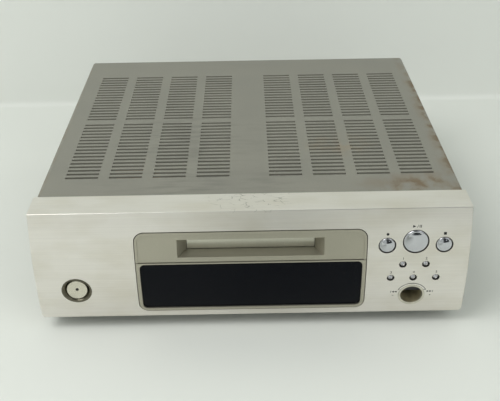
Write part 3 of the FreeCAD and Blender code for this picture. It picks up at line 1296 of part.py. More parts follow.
def cartridge_holder():
    """Folded carrier that the cartridge slides into, with four side pins."""
    y0, y1 = DISC_Y - CARTRIDGE_DEPTH / 2, DISC_Y + CARTRIDGE_DEPTH / 2
    low, high = HOLDER_FLOOR - HOLDER_WALL, HOLDER_TOP + HOLDER_WALL
    window = box(LENS_START - SLED_LEFT - HEAD_SIDE, HOLDER_IN - FIT, DISC_Y - 2 * HEAD_SIDE, y1,
                 HOLDER_TOP, high)
    top = across(HOLDER_OUT, y0, y1, HOLDER_TOP, high).cut(window)
    side = box(HOLDER_IN, HOLDER_OUT, y0, y1, low, high)
    lip = box(HOLDER_IN - HOLDER_LIP, HOLDER_OUT, y0, y1, low, HOLDER_FLOOR)
    pins = [rod_x(PIN_RADIUS, HOLDER_IN + HOLDER_WALL / 2, CAM_OUT + PIN_PROUD, y, PIN_Z)
            for y in pin_places()]
    half = side.fuse([lip] + pins)
    return top.fuse([half, mirrored(half)]).removeSplitter()


def drive_base():
    """Base plate with two upright sides, rail blocks, damper tabs and a gear axle."""
    y0, y1 = DISC_Y - BASE_FRONT, DISC_Y + BASE_REAR
    plate = across(SIDE_OUT, y0, y1, BASE_LOW, BASE_TOP)
    wall = box(SIDE_IN, SIDE_OUT, DISC_Y - CAM_FRONT, DISC_Y + CARTRIDGE_DEPTH / 2, BASE_LOW,
               HOLDER_TOP + SHEET)
    slots = [box(SIDE_IN, SIDE_OUT, y - PIN_REACH, y + PIN_REACH, PIN_Z - HOLDER_LIFT - PIN_REACH,
                 HOLDER_TOP + SHEET) for y in pin_places()]
    wall = wall.cut(slots)
    rail_z = BASE_TOP + RAIL_RISE
    blocks = [box(RAIL_START, RAIL_START + RAIL_BLOCK, y - RAIL_BLOCK / 2, y + RAIL_BLOCK / 2, BASE_LOW,
                  rail_z + RAIL_BLOCK / 2) for y in rail_places()]
    axle = rod_z(AXLE_RADIUS, LOADING_GEAR_TOP - GEAR_WALL, BASE_TOP, LOADING_GEAR_X, DISC_Y)
    tabs = [box(min(side * SIDE_IN, side * TAB_OUTER), max(side * SIDE_IN, side * TAB_OUTER), y,
                y + TAB_LENGTH,
                BASE_LOW, BASE_TOP) for side in (-1, 1) for y in tab_rows()]
    holes = [rod_z(SCREW_RADIUS, BASE_LOW, BASE_TOP, x, y) for x, y in damper_places()]
    play = AXLE_RADIUS + SLIDE_PLAY
    holes += [rod_z(play, BASE_LOW, BASE_TOP, LOADING_GEAR_X, loading_motor_y()),
              rod_z(play, BASE_LOW, BASE_TOP, SLED_GEAR_X, SLED_GEAR_Y)]
    body = plate.fuse([wall, mirrored(wall), axle] + blocks + tabs)
    return body.cut(holes + guide_rails()).removeSplitter()


def rail_places():
    return [DISC_Y - RAIL_SPACING / 2, DISC_Y + RAIL_SPACING / 2]


def guide_rails():
    return [rod_x(RAIL_RADIUS, RAIL_START, SIDE_OUT, y, BASE_TOP + RAIL_RISE) for y in rail_places()]


def tab_rows():
    return (DISC_Y - BASE_FRONT, DISC_Y + BASE_REAR - TAB_LENGTH)


def damper_places():
    return [(side * DAMPER_X, y + TAB_LENGTH / 2) for side in (-1, 1) for y in tab_rows()]


def drive_dampers():
    """Rubber feet between the drive and its cradle."""
    return [rod_z(DAMPER_RADIUS, CRADLE_TOP, BASE_LOW, x,
                  y).cut(rod_z(SCREW_RADIUS, CRADLE_TOP, BASE_LOW, x, y))
            for x, y in damper_places()]


def drive_screws():
    return [screw(V(x, y, BASE_TOP), V(0, 0, -1)) for x, y in damper_places()]


def drive_cradle():
    """Two folded side brackets tied by cross strips, standing on the tray."""
    wall = CRADLE_WALL
    y0, y1 = DISC_Y - BASE_FRONT, DISC_Y + BASE_REAR
    top = box(CRADLE_IN, CRADLE_OUT, y0, y1, CRADLE_TOP - wall, CRADLE_TOP)
    web = box(CRADLE_OUT - wall, CRADLE_OUT, y0, y1, FLOOR_TOP, CRADLE_TOP)
    foot = box(CRADLE_OUT - wall, CRADLE_OUT + CRADLE_FOOT, y0, y1, FLOOR_TOP, FLOOR_TOP + wall)
    side = top.fuse([web, foot])
    ties = [across(CRADLE_IN + wall, y, y + TAB_LENGTH, CRADLE_TOP - wall, CRADLE_TOP) for y in tab_rows()]
    holes = [rod_z(SCREW_RADIUS, CRADLE_TOP - wall, CRADLE_TOP, x, y) for x, y in damper_places()]
    gap = MOTOR_RADIUS + FIT
    holes.append(rod_z(gap, CRADLE_TOP - wall, CRADLE_TOP, SLED_GEAR_X, SLED_GEAR_Y))
    return side.fuse([mirrored(side)] + ties).cut(holes).removeSplitter()


def spindle_motor():
    can = rod_z(SPINDLE_MOTOR_RADIUS, BASE_TOP, BASE_TOP + SPINDLE_MOTOR_HEIGHT, 0, DISC_Y)
    return can.cut(rod_z(SPINDLE_RADIUS + SLIDE_PLAY, BASE_TOP + SHEET, BASE_TOP + SPINDLE_MOTOR_HEIGHT, 0,
                         DISC_Y))


def turntable():
    """Disc seat with a centring hub, on the spindle."""
    top = HOLDER_FLOOR - HOLDER_LIFT - FIT
    plate = rod_z(TURNTABLE_RADIUS, top - TURNTABLE_WALL, top, 0, DISC_Y)
    hub = Part.makeCone(HUB_RADIUS, HUB_RADIUS / 2, HUB_HEIGHT, V(0, DISC_Y, top))
    return plate.fuse([hub, rod_z(SPINDLE_RADIUS, BASE_TOP + SHEET + SEAT, top, 0, DISC_Y)]).removeSplitter()


def sled_span():
    """X of the sled's two ends."""
    return LENS_START - SLED_LEFT, LENS_START + SLED_RIGHT


def pickup_sled():
    """Optical block on two rails, with a rack at its rear and a post for the head arm."""
    x0, x1 = sled_span()
    z0, z1 = BASE_TOP + SLED_RISE, BASE_TOP + SLED_RISE + SLED_HEIGHT
    y0, post_y = DISC_Y - SLED_LENGTH / 2, ARM_Y - POST_DEPTH / 2
    body = box(x0, x1, y0, SLED_BACK, z0, z1)
    teeth = math.ceil(SLED_TRAVEL / GEAR_PITCH) + 3
    strip = rack(teeth, RACK_BODY)
    strip.rotate(V(0, 0, 0), V(0, 0, 1), 90)
    strip.translate(V(SLED_GEAR_X + GEAR_PITCH * 1.5, SLED_RACK_Y, SLED_GEAR_LOW))
    beam = box(x0, x0 + POST_WIDTH, SLED_BACK, post_y + POST_DEPTH, BASE_TOP + BEAM_RISE,
               BASE_TOP + BEAM_RISE + BEAM_WALL)
    post = box(x0, x0 + POST_WIDTH, post_y, post_y + POST_DEPTH, BASE_TOP + BEAM_RISE,
               ARM_Z + 2 * ARM_PIVOT_RADIUS)
    pin = rod_x(ARM_PIVOT_RADIUS, x0, x0 + POST_WIDTH + ARM_WIDTH, ARM_Y, ARM_Z)
    bores = [rod_x(RAIL_RADIUS + SLIDE_PLAY, x0, x1, y, BASE_TOP + RAIL_RISE) for y in rail_places()]
    seat = rod_z(LENS_RADIUS, z1 - 2 * LENS_PROUD, z1, LENS_START, DISC_Y)
    return body.fuse([strip, beam, post, pin]).cut(bores + [seat]).removeSplitter()


def pickup_lens():
    """Lens with a domed top, set into the sled."""
    z1 = BASE_TOP + SLED_RISE + SLED_HEIGHT
    lens = rod_z(LENS_RADIUS, z1 - 2 * LENS_PROUD, z1 + LENS_PROUD, LENS_START, DISC_Y)
    ball = Part.makeSphere(2 * LENS_RADIUS, V(LENS_START, DISC_Y, z1 + LENS_PROUD - 2 * LENS_RADIUS))
    return lens.common(ball)


def head_arm():
    """Arm over the disc that carries the recording head at its tip."""
    x0 = sled_span()[0] + POST_WIDTH + FIT
    x1 = x0 + ARM_WIDTH - 2 * FIT
    tip = DISC_Y - ARM_TIP
    strip = box(x0, x1, tip, ARM_Y, ARM_Z - ARM_WALL / 2, ARM_Z + ARM_WALL / 2)
    head = box(x0, x0 + HEAD_SIDE, tip, tip + HEAD_SIDE, ARM_Z - ARM_WALL / 2 - HEAD_DROP, ARM_Z)
    body = strip.fuse([rod_x(ARM_HUB_RADIUS, x0, x1, ARM_Y, ARM_Z), head])
    return body.cut(rod_x(ARM_PIVOT_RADIUS + SLIDE_PLAY, x0, x1, ARM_Y, ARM_Z)).removeSplitter()


def write(name, shapes):
    """Write one node, a solid or a group of separate solids, to its file."""
    solids = []
    for shape in shapes if isinstance(shapes, list) else [shapes]:
        solids += shape.Solids
    shape = solids[0] if len(solids) == 1 else Part.makeCompound(solids)
    shape.exportStep("parts/" + name + ".step")


def main():
    os.makedirs("parts", exist_ok=True)
    main_area, power_area = board_areas()
    core, winding = transformer_parts()
    left, right = optical_places()
    boards = [upright_board(key_board_area(), KEY_BOARD_Y), upright_board(power_key_board_area(), BOARD_Y),
              upright_board(display_board_area(), BOARD_Y)]
    nodes = {
        "front_panel": front_panel(),
        "slot_surround": slot_surround(),
        "slot_door": slot_door(),
        "door_spring": door_spring(),
        "display_frame": display_frame(),
        "display_window": display_window(),
        "power_ring": power_ring(),
        "power_button": power_button(),
        "power_lens": power_lens(),
        "selector_well": selector_well(),
        "selector_rotor": selector_rotor(),
        "selector_pusher": selector_pusher(),
        "selector_encoder": selector_encoder(),
        "front_frame": front_frame(),
        "front_boards": boards,
        "key_switches": key_switches(),
        "display_tube": display_tube(),
        "top_cover": top_cover(),
        "bottom_chassis": bottom_chassis(),
        "rear_panel": rear_panel(),
        "feet": feet() + foot_pads(),
        "case_screws": case_screws(),
        "circuit_boards": [flat_board(main_area), flat_board(power_area)],
        "board_components": main_chips() + power_parts(),
        "shield_can": shield_can(),
        "heat_sink": heat_sink(),
        "transformer_core": core,
        "transformer_winding": winding,
        "ribbon_leads": ribbons(),
        "line_socket_block": line_socket_block(),
        "socket_contacts": line_socket_shells() + inlet_pins(),
        "line_inserts_left": line_socket_inserts(0),
        "line_inserts_right": line_socket_inserts(1),
        "optical_sockets": optical_sockets(),
        "optical_shutter_left": optical_shutter(left),
        "optical_shutter_right": optical_shutter(right),
        "mains_inlet": mains_inlet(),
        "drive_cradle": drive_cradle(),
        "drive_dampers": drive_dampers(),
        "drive_fasteners": drive_screws() + slide_studs(),
        "drive_base": drive_base(),
        "guide_rails": guide_rails(),
        "cam_slider": cam_slider(),
        "cartridge_holder": cartridge_holder(),
        "loading_gear": loading_gear(),
        "loading_pinion": loading_pinion(),
        "sled_gear": sled_gear(),
        "drive_motors": [loading_motor(), sled_motor(), spindle_motor()],
        "turntable": turntable(),
        "pickup_sled": pickup_sled(),
        "pickup_lens": pickup_lens(),
        "head_arm": head_arm(),
    }
    nodes.update(keys())
    for name, shapes in nodes.items():
        write(name, shapes)


main()
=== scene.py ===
import math

import bmesh
import bpy
from bpy.props import FloatProperty, FloatVectorProperty, PointerProperty
from mathutils import Matrix, Vector
from mathutils.bvhtree import BVHTree


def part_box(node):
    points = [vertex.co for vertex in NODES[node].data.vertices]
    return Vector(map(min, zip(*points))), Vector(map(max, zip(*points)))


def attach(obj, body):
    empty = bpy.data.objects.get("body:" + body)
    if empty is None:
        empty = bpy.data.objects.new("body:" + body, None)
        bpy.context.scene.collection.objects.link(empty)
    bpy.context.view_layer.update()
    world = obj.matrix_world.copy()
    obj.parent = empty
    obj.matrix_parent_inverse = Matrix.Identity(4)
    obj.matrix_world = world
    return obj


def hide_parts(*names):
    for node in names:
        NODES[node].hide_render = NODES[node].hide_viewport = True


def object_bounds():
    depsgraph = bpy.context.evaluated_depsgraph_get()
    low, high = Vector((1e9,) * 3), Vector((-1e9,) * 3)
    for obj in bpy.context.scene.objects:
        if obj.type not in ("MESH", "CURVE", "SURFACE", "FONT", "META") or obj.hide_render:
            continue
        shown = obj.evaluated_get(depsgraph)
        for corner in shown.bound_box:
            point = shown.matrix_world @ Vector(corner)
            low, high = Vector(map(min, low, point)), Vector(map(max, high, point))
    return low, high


bl_info = {
    "name": "Minidisc deck finish",
    "version": (1, 0, 0),
    "blender": (4, 5, 0),
    "location": "3D View > Sidebar > Deck",
    "description": "Metal, paint and moulded finishes, turned keys and printed marks of a minidisc deck",
    "category": "Object",
}

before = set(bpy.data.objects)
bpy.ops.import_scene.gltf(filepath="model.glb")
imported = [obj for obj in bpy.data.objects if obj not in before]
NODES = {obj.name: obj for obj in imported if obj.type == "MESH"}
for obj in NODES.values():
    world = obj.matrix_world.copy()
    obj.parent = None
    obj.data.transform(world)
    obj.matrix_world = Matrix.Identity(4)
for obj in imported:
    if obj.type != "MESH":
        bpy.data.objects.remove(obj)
CAD_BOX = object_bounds()

MM = 0.001
FLOOR = "deck_floor_and_wall"
FRONT = Vector((0, 1, 0))
SMALL_KEYS = ("upper_left_key", "upper_right_key", "lower_left_key", "lower_middle_key", "lower_right_key")

# The photograph's camera, in the deck's own frame
CAMERA_PLACE = Vector((-0.09, -616.46, 328.84)) * MM
CAMERA_PITCH = 26.55
CAMERA_YAW = 0.02
CAMERA_ROLL = -1.005
CAMERA_LENS = 69.76
SENSOR_WIDTH = 36.0

# Turned keys: skirt length, stem as a share of the radius, and steps in each curve
KEY_SKIRT = 6.0 * MM
KEY_STEM_SHARE = 0.5
KEY_STEPS = 8
KEY_SEGMENTS = 96

# Printed marks: places beside the selector, the gap under the ink, and sizes as shares of a symbol
SKIP_REACH = 10.9 * MM
SKIP_RISE = 2.7 * MM
INK_SEAT = 0.005 * MM
SIGN_DROP = 1.7
SIGN_LENGTH = 0.6
SIGN_WIDTH = 0.16
ARC_LIFT = 26


def linear(code):
    """The linear colour of an sRGB hex value."""
    parts = [int(code[i:i + 2], 16) / 255 for i in (1, 3, 5)]
    return [p / 12.92 if p <= 0.04045 else ((p + 0.055) / 1.055) ** 2.4 for p in parts] + [1.0]


def colour(name, code, description):
    """A colour that a user may change."""
    return FloatVectorProperty(name=name, description=description, subtype="COLOR", size=4,
                               min=0.0, max=1.0, default=linear(code))


def length(name, millimetres, description):
    """A length that a user may change."""
    return FloatProperty(name=name, description=description, default=millimetres * MM,
                         min=0.0, unit="LENGTH", subtype="DISTANCE")


class DeckColours(bpy.types.PropertyGroup):
    """Colours of the deck's finishes."""
    panel: colour("Front panel", "#EDE9E3", "Champagne anodised aluminium")
    plaque: colour("Plaque", "#ADA99A", "Metallic paint on the slot and display mouldings")
    door: colour("Door", "#D6D4C6", "Metallic paint on the disc door")
    window: colour("Window", "#04060D", "Smoked acrylic over the display")
    # Painted shade: the collar's champagne made darker and browner for the shade in its funnel
    bronze: colour("Selector collar", "#C4BCA2", "Collar of the selector, darkened as painted shade")
    paint: colour("Case", "#7D7B71", "Grey paint on the steel case")
    stain: colour("Rust", "#6F604B", "Rust that shows at the case's edges")
    grime: colour("Grime", "#4A4843", "Smudges on the case")
    zinc: colour("Zinc", "#B9BBB8", "Zinc plated steel")
    laminate: colour("Circuit board", "#3F5A2C", "Solder mask on the boards")
    plastic: colour("Black plastic", "#17181A", "Moulded sockets and inner parts")
    ink: colour("Ink", "#0B0B0C", "Printed marks")
    white_insert: colour("Left sockets", "#E4E2DA", "Insulators of the left channel")
    red_insert: colour("Right sockets", "#B3201F", "Insulators of the right channel")


class DeckSizes(bpy.types.PropertyGroup):
    """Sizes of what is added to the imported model."""
    ink: length("Ink", 0.04, "Thickness of the printed marks")
    numeral: length("Numeral", 1.7, "Height of the numbers above the small keys")
    numeral_rise: length("Numeral rise", 4.1, "From a small key's centre to its number")
    symbol: length("Symbol", 1.65, "Height of the printed symbols")
    symbol_rise: length("Symbol rise", 2.6, "From a shuttle key's rim to its symbol")
    arc_radius: length("Arc radius", 9.1, "Printed arc above the selector")
    arc_line: length("Arc line", 0.22, "Width of the printed arc")
    shoulder: length("Key shoulder", 0.9, "Rounded rim of the shuttle keys")
    small_shoulder: length("Small key shoulder", 0.55, "Rounded rim of the small keys")
    crown: length("Key crown", 1.05, "How far a shuttle key's face bulges")
    small_crown: length("Small key crown", 0.5, "How far a small key's face bulges")


class DeckStage(bpy.types.PropertyGroup):
    """The plain set that the deck is shown on."""
    floor: colour("Floor", "#DEE0DB", "Pale floor and wall")
    wall_gap: length("Wall gap", 114.0, "From the deck's back to the wall")
    key_power: FloatProperty(name="Key lamp", description="Power of the soft lamp above left",
                             default=12.0, unit="POWER")
    fill_power: FloatProperty(name="Fill lamp", description="Power of the soft lamp at right",
                              default=3.2, unit="POWER")
    sky: FloatProperty(name="Room light", description="Strength of the even light of the room", default=0.84)


def add(tree, kind, sockets=(), **settings):
    """Adds a node: settings are its own properties, sockets are values or the outputs that feed it."""
    made = tree.nodes.new(kind)
    for name, value in settings.items():
        setattr(made, name, value)
    for name, value in dict(sockets).items():
        if isinstance(value, bpy.types.NodeSocket):
            tree.links.new(value, made.inputs[name])
        else:
            made.inputs[name].default_value = value
    return made


def material(name, **values):
    """A material with one shader: values are the shader's sockets, with underscores for spaces."""
    made = bpy.data.materials.new(name)
    made.use_nodes = True
    tree = made.node_tree
    tree.nodes.clear()
    sockets = {socket.replace("_", " "): value for socket, value in values.items()}
    shader = add(tree, "ShaderNodeBsdfPrincipled", sockets)
    add(tree, "ShaderNodeOutputMaterial", {"Surface": shader.outputs["BSDF"]})
    return made, tree, shader


def feed(tree, shader, **sockets):
    """Links patterns to the shader's sockets."""
    for socket, source in sockets.items():
        tree.links.new(source, shader.inputs[socket.replace("_", " ")])


def place(tree, size, centre=(0, 0, 0)):
    """Coordinates on the object that start at centre, where one unit is size, both in millimetres."""
    where = add(tree, "ShaderNodeTexCoord").outputs["Object"]
    origin = Vector(centre) * MM
    moved = add(tree, "ShaderNodeVectorMath", {0: where, 1: origin}, operation="SUBTRACT").outputs[0]
    scale = [1 / (MM * s) for s in size]
    return add(tree, "ShaderNodeVectorMath", {0: moved, 1: scale}, operation="MULTIPLY").outputs[0]


def spread(tree, value, low, high, to_low=0.0, to_high=1.0):
    """A value between low and high, spread over another range and held at its ends."""
    sockets = {"Value": value, "From Min": low, "From Max": high, "To Min": to_low, "To Max": to_high}
    return add(tree, "ShaderNodeMapRange", sockets, clamp=True).outputs[0]


def clouds(tree, size, low=0.35, high=0.65, detail=4.0, centre=(0, 0, 0)):
    """A mask of cloudy patches of about that size in millimetres along X, Y and Z."""
    where = place(tree, size, centre)
    noise = add(tree, "ShaderNodeTexNoise", {"Vector": where, "Scale": 1.0, "Detail": detail})
    return spread(tree, noise.outputs[0], low, high)


def spot(tree, centre, size, inner=0.0):
    """A mask that is 1 at a point and fades to 0 at size millimetres from it."""
    where = place(tree, size, centre)
    away = add(tree, "ShaderNodeVectorMath", {0: where}, operation="LENGTH").outputs["Value"]
    return spread(tree, away, inner, 1.0, 1.0, 0.0)


def sum_of(tree, operation, first, *others):
    """Masks joined one after another by a sum, product, maximum or other operation."""
    for other in others:
        joined = add(tree, "ShaderNodeMath", {0: first, 1: other}, operation=operation, use_clamp=True)
        first = joined.outputs[0]
    return first


def mixed(tree, mask, under, over):
    """One colour laid over another through a mask."""
    return add(tree, "ShaderNodeMix", {0: mask, 6: under, 7: over}, data_type="RGBA").outputs[2]


def shade(tree, colour_value, mask, low, high):
    """A colour made darker or lighter through a mask, between two factors."""
    factor = spread(tree, mask, 0.0, 1.0, low, high)
    grey = add(tree, "ShaderNodeCombineColor", {0: factor, 1: factor, 2: factor}).outputs[0]
    return add(tree, "ShaderNodeMix", {0: 1.0, 6: colour_value, 7: grey}, data_type="RGBA",
               blend_type="MULTIPLY").outputs[2]


def relief(tree, shader, *heights):
    """Bumps on a surface: each is a pattern and its depth in millimetres."""
    normal = None
    for height, depth in heights:
        sockets = {"Height": height, "Distance": depth * MM, "Strength": 1.0}
        if normal:
            sockets["Normal"] = normal
        normal = add(tree, "ShaderNodeBump", sockets).outputs[0]
    tree.links.new(normal, shader.inputs["Normal"])


def scratches(tree, size, width, centre=(0, 0, 0)):
    """Thin crossing lines, width being their share of a cell of that size."""
    bend = add(tree, "ShaderNodeTexNoise", {"Vector": place(tree, [s * 2 for s in size], centre), "Scale": 1.0})
    straight = place(tree, size, centre)
    offset = add(tree, "ShaderNodeVectorMath", {0: bend.outputs[1], 1: straight}, operation="ADD")
    cells = add(tree, "ShaderNodeTexVoronoi", {"Vector": offset.outputs[0], "Scale": 1.0},
                feature="DISTANCE_TO_EDGE")
    return spread(tree, cells.outputs["Distance"], 0.0, width, 1.0, 0.0)


def cover(finish, *names):
    """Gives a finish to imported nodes."""
    for name in names:
        slots = NODES[name].material_slots
        if not slots:
            NODES[name].data.materials.append(finish)
        for each in slots:
            each.material = finish


def colours():
    return bpy.context.scene.deck_colours


def sizes():
    return bpy.context.scene.deck_sizes


def anodised_aluminium():
    """Brushed and anodised: a warm silver sheen drawn out up and down, with fine level streaks."""
    made, tree, shader = material("Anodised aluminium, brushed", Metallic=1.0, Roughness=0.36, Anisotropic=0.55)
    streaks = clouds(tree, (70, 0.9, 0.9), 0.3, 0.7, 3.0)
    fine = clouds(tree, (18, 0.35, 0.35), 0.2, 0.8, 2.0)
    smudges = clouds(tree, (34, 20, 16), 0.42, 0.7)
    warm = mixed(tree, smudges, colours().panel, linear("#E4DFD5"))
    tone = shade(tree, shade(tree, warm, streaks, 0.955, 1.0), fine, 0.97, 1.0)

    # Ledge rubbed and marked near its middle, where something stood on it
    rubbed = spot(tree, (3, -122, 81), (34, 18, 6), 0.35)
    lines = scratches(tree, (6.5, 4.2, 4.2), 0.035, (7, 3, 0))
    gaps = clouds(tree, (5, 3, 3), 0.5, 0.58)
    marks = sum_of(tree, "MULTIPLY", lines, gaps, rubbed)
    tone = mixed(tree, marks, tone, linear("#77756A"))
    feed(tree, shader, Base_Color=tone)
    feed(tree, shader, Roughness=spread(tree, sum_of(tree, "ADD", streaks, smudges), 0.0, 2.0, 0.33, 0.41))
    upright = add(tree, "ShaderNodeCombineXYZ", {2: 1.0}).outputs[0]
    feed(tree, shader, Tangent=upright)
    relief(tree, shader, (fine, 0.004), (marks, -0.02))
    return made


def painted_steel(name, with_rust):
    """Stove enamel on folded steel: an even grey with a dull sheen, smudged by handling."""
    made, tree, shader = material(name, Metallic=0.0, Roughness=0.42, Specular_IOR_Level=0.6)
    cloud = clouds(tree, (38, 46, 38), 0.3, 0.72)
    speck = clouds(tree, (0.9, 0.9, 0.9), 0.3, 0.7, 2.0)
    tone = shade(tree, shade(tree, colours().paint, cloud, 0.88, 1.06), speck, 0.96, 1.03)
    rough = spread(tree, cloud, 0.0, 1.0, 0.38, 0.5)
    if with_rust:
        # Hand smudges near the front edge and round the left vents
        wipe = clouds(tree, (26, 4.5, 8), 0.47, 0.66, 6.0)
        front = spot(tree, (-25, -98, 81), (78, 30, 20), 0.1)
        vents = spot(tree, (-40, -30, 81), (60, 60, 20), 0.1)
        smudge = sum_of(tree, "MULTIPLY", wipe, sum_of(tree, "MAXIMUM", front, vents))
        smudge = sum_of(tree, "MULTIPLY", smudge, spread(tree, cloud, 0, 1, 0.35, 0.6))
        tone = mixed(tree, smudge, tone, colours().grime)
        # Rust creeps in from the right bend and gathers at the front right corner
        edge = sum_of(tree, "MAXIMUM", spot(tree, (124, 0, 79), (9, 300, 14), 0.3),
                      spot(tree, (104, -104, 81), (46, 22, 14), 0.25))
        edge = sum_of(tree, "MAXIMUM", edge, spot(tree, (-124, 10, 78), (3.5, 260, 8), 0.1))
        patchy = clouds(tree, (8, 13, 8), 0.38, 0.6, 7.0)
        rust = sum_of(tree, "MULTIPLY", edge, patchy)
        faint = sum_of(tree, "MULTIPLY", spot(tree, (58, -42, 81), (26, 22, 12)), patchy)
        tone = mixed(tree, rust, tone, colours().stain)
        faint = sum_of(tree, "MULTIPLY", faint, spread(tree, patchy, 0, 1, 0.1, 0.35))
        tone = mixed(tree, faint, tone, linear("#8F7550"))
        rough = sum_of(tree, "MAXIMUM", rough, spread(tree, rust, 0.0, 1.0, 0.0, 0.85))
    feed(tree, shader, Base_Color=tone, Roughness=rough)
    relief(tree, shader, (speck, 0.012), (cloud, 0.03))
    return made


def metallic_paint(name, tone, rough):
    """Sprayed on a moulding: a soft champagne sheen with flakes too fine to count."""
    made, tree, shader = material(name, Metallic=0.75, Roughness=rough, Coat_Weight=0.15, Coat_Roughness=0.3)
    flake = clouds(tree, (0.5, 0.5, 0.5), 0.3, 0.7, 2.0)
    cloud = clouds(tree, (22, 14, 12), 0.3, 0.7)
    feed(tree, shader, Base_Color=shade(tree, shade(tree, tone, flake, 0.95, 1.03), cloud, 0.96, 1.02))
    feed(tree, shader, Roughness=spread(tree, cloud, 0.0, 1.0, rough - 0.03, rough + 0.05))
    relief(tree, shader, (flake, 0.003))
    return made


def smoked_acrylic():
    """Polished sheet: almost black, with sharp reflections and faint dust."""
    made, tree, shader = material("Smoked acrylic, polished", Roughness=0.05, IOR=1.49,
                                  Specular_IOR_Level=0.12)
    dust = clouds(tree, (0.7, 0.7, 0.7), 0.68, 0.9, 2.0)
    haze = clouds(tree, (30, 20, 14), 0.4, 0.75)
    feed(tree, shader, Base_Color=mixed(tree, dust, colours().window, linear("#2A2C2E")))
    feed(tree, shader, Roughness=spread(tree, haze, 0.0, 1.0, 0.04, 0.1))
    return made


def chrome_plate():
    """Bright chrome on moulded caps: a clean mirror with slight finger haze."""
    made, tree, shader = material("Chrome plate, bright", Metallic=1.0, Roughness=0.07)
    haze = clouds(tree, (4, 4, 4), 0.35, 0.75)
    feed(tree, shader, Roughness=spread(tree, haze, 0.0, 1.0, 0.05, 0.13))
    feed(tree, shader, Base_Color=shade(tree, linear("#CBCCD1"), haze, 0.97, 1.0))
    return made


def spun_metal(name, tone, axis):
    """Turned on a lathe: rings round the axis and a sheen that fans out from the middle."""
    made, tree, shader = material(name, Metallic=1.0, Roughness=0.27, Anisotropic=0.75)
    flat = place(tree, (1, 1e6, 1), axis)
    radius = add(tree, "ShaderNodeVectorMath", {0: flat}, operation="LENGTH").outputs["Value"]
    # Real turning marks are about 0.05 mm apart and drawn 0.25 mm apart here, so that they show
    wave = add(tree, "ShaderNodeMath", {0: radius, 1: 2 * math.pi / 0.25}, operation="MULTIPLY").outputs[0]
    rings = spread(tree, add(tree, "ShaderNodeMath", {0: wave}, operation="SINE").outputs[0], -1.0, 1.0)
    feed(tree, shader, Base_Color=shade(tree, linear(tone), rings, 0.9, 1.0))
    feed(tree, shader, Roughness=spread(tree, rings, 0.0, 1.0, 0.24, 0.32))
    out = add(tree, "ShaderNodeVectorMath", {0: flat}, operation="NORMALIZE").outputs[0]
    feed(tree, shader, Tangent=out)
    relief(tree, shader, (rings, 0.003))
    return made


def bronze_collar(axis):
    """Champagne paint in the selector's funnel: dull, and painted darker and brownish there as painted shade,
    with a paler turned rim in its own colour.
    """
    made, tree, shader = material("Champagne paint, satin, shaded in funnel", Metallic=0.85, Roughness=0.38)
    away = add(tree, "ShaderNodeVectorMath", {0: place(tree, (1, 1e6, 1), axis)}, operation="LENGTH")
    rim = spread(tree, away.outputs["Value"], 6.0, 6.2)
    cloud = clouds(tree, (3, 3, 3), 0.3, 0.7)
    # Painted shade: the funnel is darker and browner than the champagne rim
    tone = mixed(tree, rim, colours().bronze, linear("#D6D2C4"))
    feed(tree, shader, Base_Color=shade(tree, tone, cloud, 0.85, 1.05))
    feed(tree, shader, Roughness=spread(tree, cloud, 0.0, 1.0, 0.33, 0.45))
    return made


def zinc_plate(name, tone, rough=0.38):
    """Zinc on pressed steel: pale grey with a faint spangle and rolling lines."""
    made, tree, shader = material(name, Metallic=1.0, Roughness=rough)
    spangle = clouds(tree, (5, 5, 5), 0.3, 0.7)
    lines = clouds(tree, (0.7, 40, 40), 0.3, 0.7, 2.0)
    feed(tree, shader, Base_Color=shade(tree, shade(tree, tone, spangle, 0.9, 1.03), lines, 0.96, 1.0))
    feed(tree, shader, Roughness=spread(tree, spangle, 0.0, 1.0, rough - 0.06, rough + 0.08))
    relief(tree, shader, (spangle, 0.01))
    return made


def moulded_plastic(name, tone, rough=0.5, grit=0.35):
    """Moulded plastic with a fine spark-eroded texture."""
    made, tree, shader = material(name, Roughness=rough, IOR=1.53)
    grain = clouds(tree, (grit, grit, grit), 0.3, 0.7, 2.0)
    cloud = clouds(tree, (14, 14, 14), 0.3, 0.7)
    feed(tree, shader, Base_Color=shade(tree, shade(tree, tone, grain, 0.93, 1.05), cloud, 0.95, 1.03))
    feed(tree, shader, Roughness=spread(tree, grain, 0.0, 1.0, rough - 0.08, rough + 0.08))
    relief(tree, shader, (grain, 0.015))
    return made


def board_laminate():
    """Glass-filled board under solder mask: green, with paler tracks and tinned pads."""
    made, tree, shader = material("Circuit board, solder mask", Roughness=0.35, IOR=1.55)
    grid = place(tree, (9, 5, 9))
    white, black = linear("#FFFFFF"), linear("#000000")
    bricks = add(tree, "ShaderNodeTexBrick", {"Vector": grid, "Color1": white, "Color2": white, "Mortar": black,
                                              "Scale": 1.0, "Mortar Size": 0.06})
    cloud = clouds(tree, (12, 12, 12), 0.35, 0.65)
    tracks = mixed(tree, bricks.outputs[0], linear("#6E8A3E"), colours().laminate)
    pitch = place(tree, (2.54, 2.54, 2.54))
    pads = add(tree, "ShaderNodeTexVoronoi", {"Vector": pitch, "Scale": 1.0, "Randomness": 0.15})
    dots = sum_of(tree, "MULTIPLY", spread(tree, pads.outputs["Distance"], 0.2, 0.26, 1.0, 0.0), cloud)
    feed(tree, shader, Base_Color=mixed(tree, dots, tracks, linear("#C9C7BC")))
    relief(tree, shader, (bricks.outputs[0], -0.03))
    return made


def component_bodies():
    """Sleeved capacitors and moulded packages: mostly black, some dark blue or grey."""
    made, tree, shader = material("Component bodies, moulded epoxy", Roughness=0.4, IOR=1.55)
    island = add(tree, "ShaderNodeNewGeometry").outputs["Random Per Island"]
    bluish = spread(tree, island, 0.45, 0.5)
    grey = spread(tree, island, 0.8, 0.85)
    tone = mixed(tree, grey, mixed(tree, bluish, linear("#141416"), linear("#1B2740")), linear("#7C7E80"))
    grain = clouds(tree, (0.6, 0.6, 0.6), 0.3, 0.7, 2.0)
    feed(tree, shader, Base_Color=shade(tree, tone, grain, 0.92, 1.05))
    relief(tree, shader, (grain, 0.01))
    return made


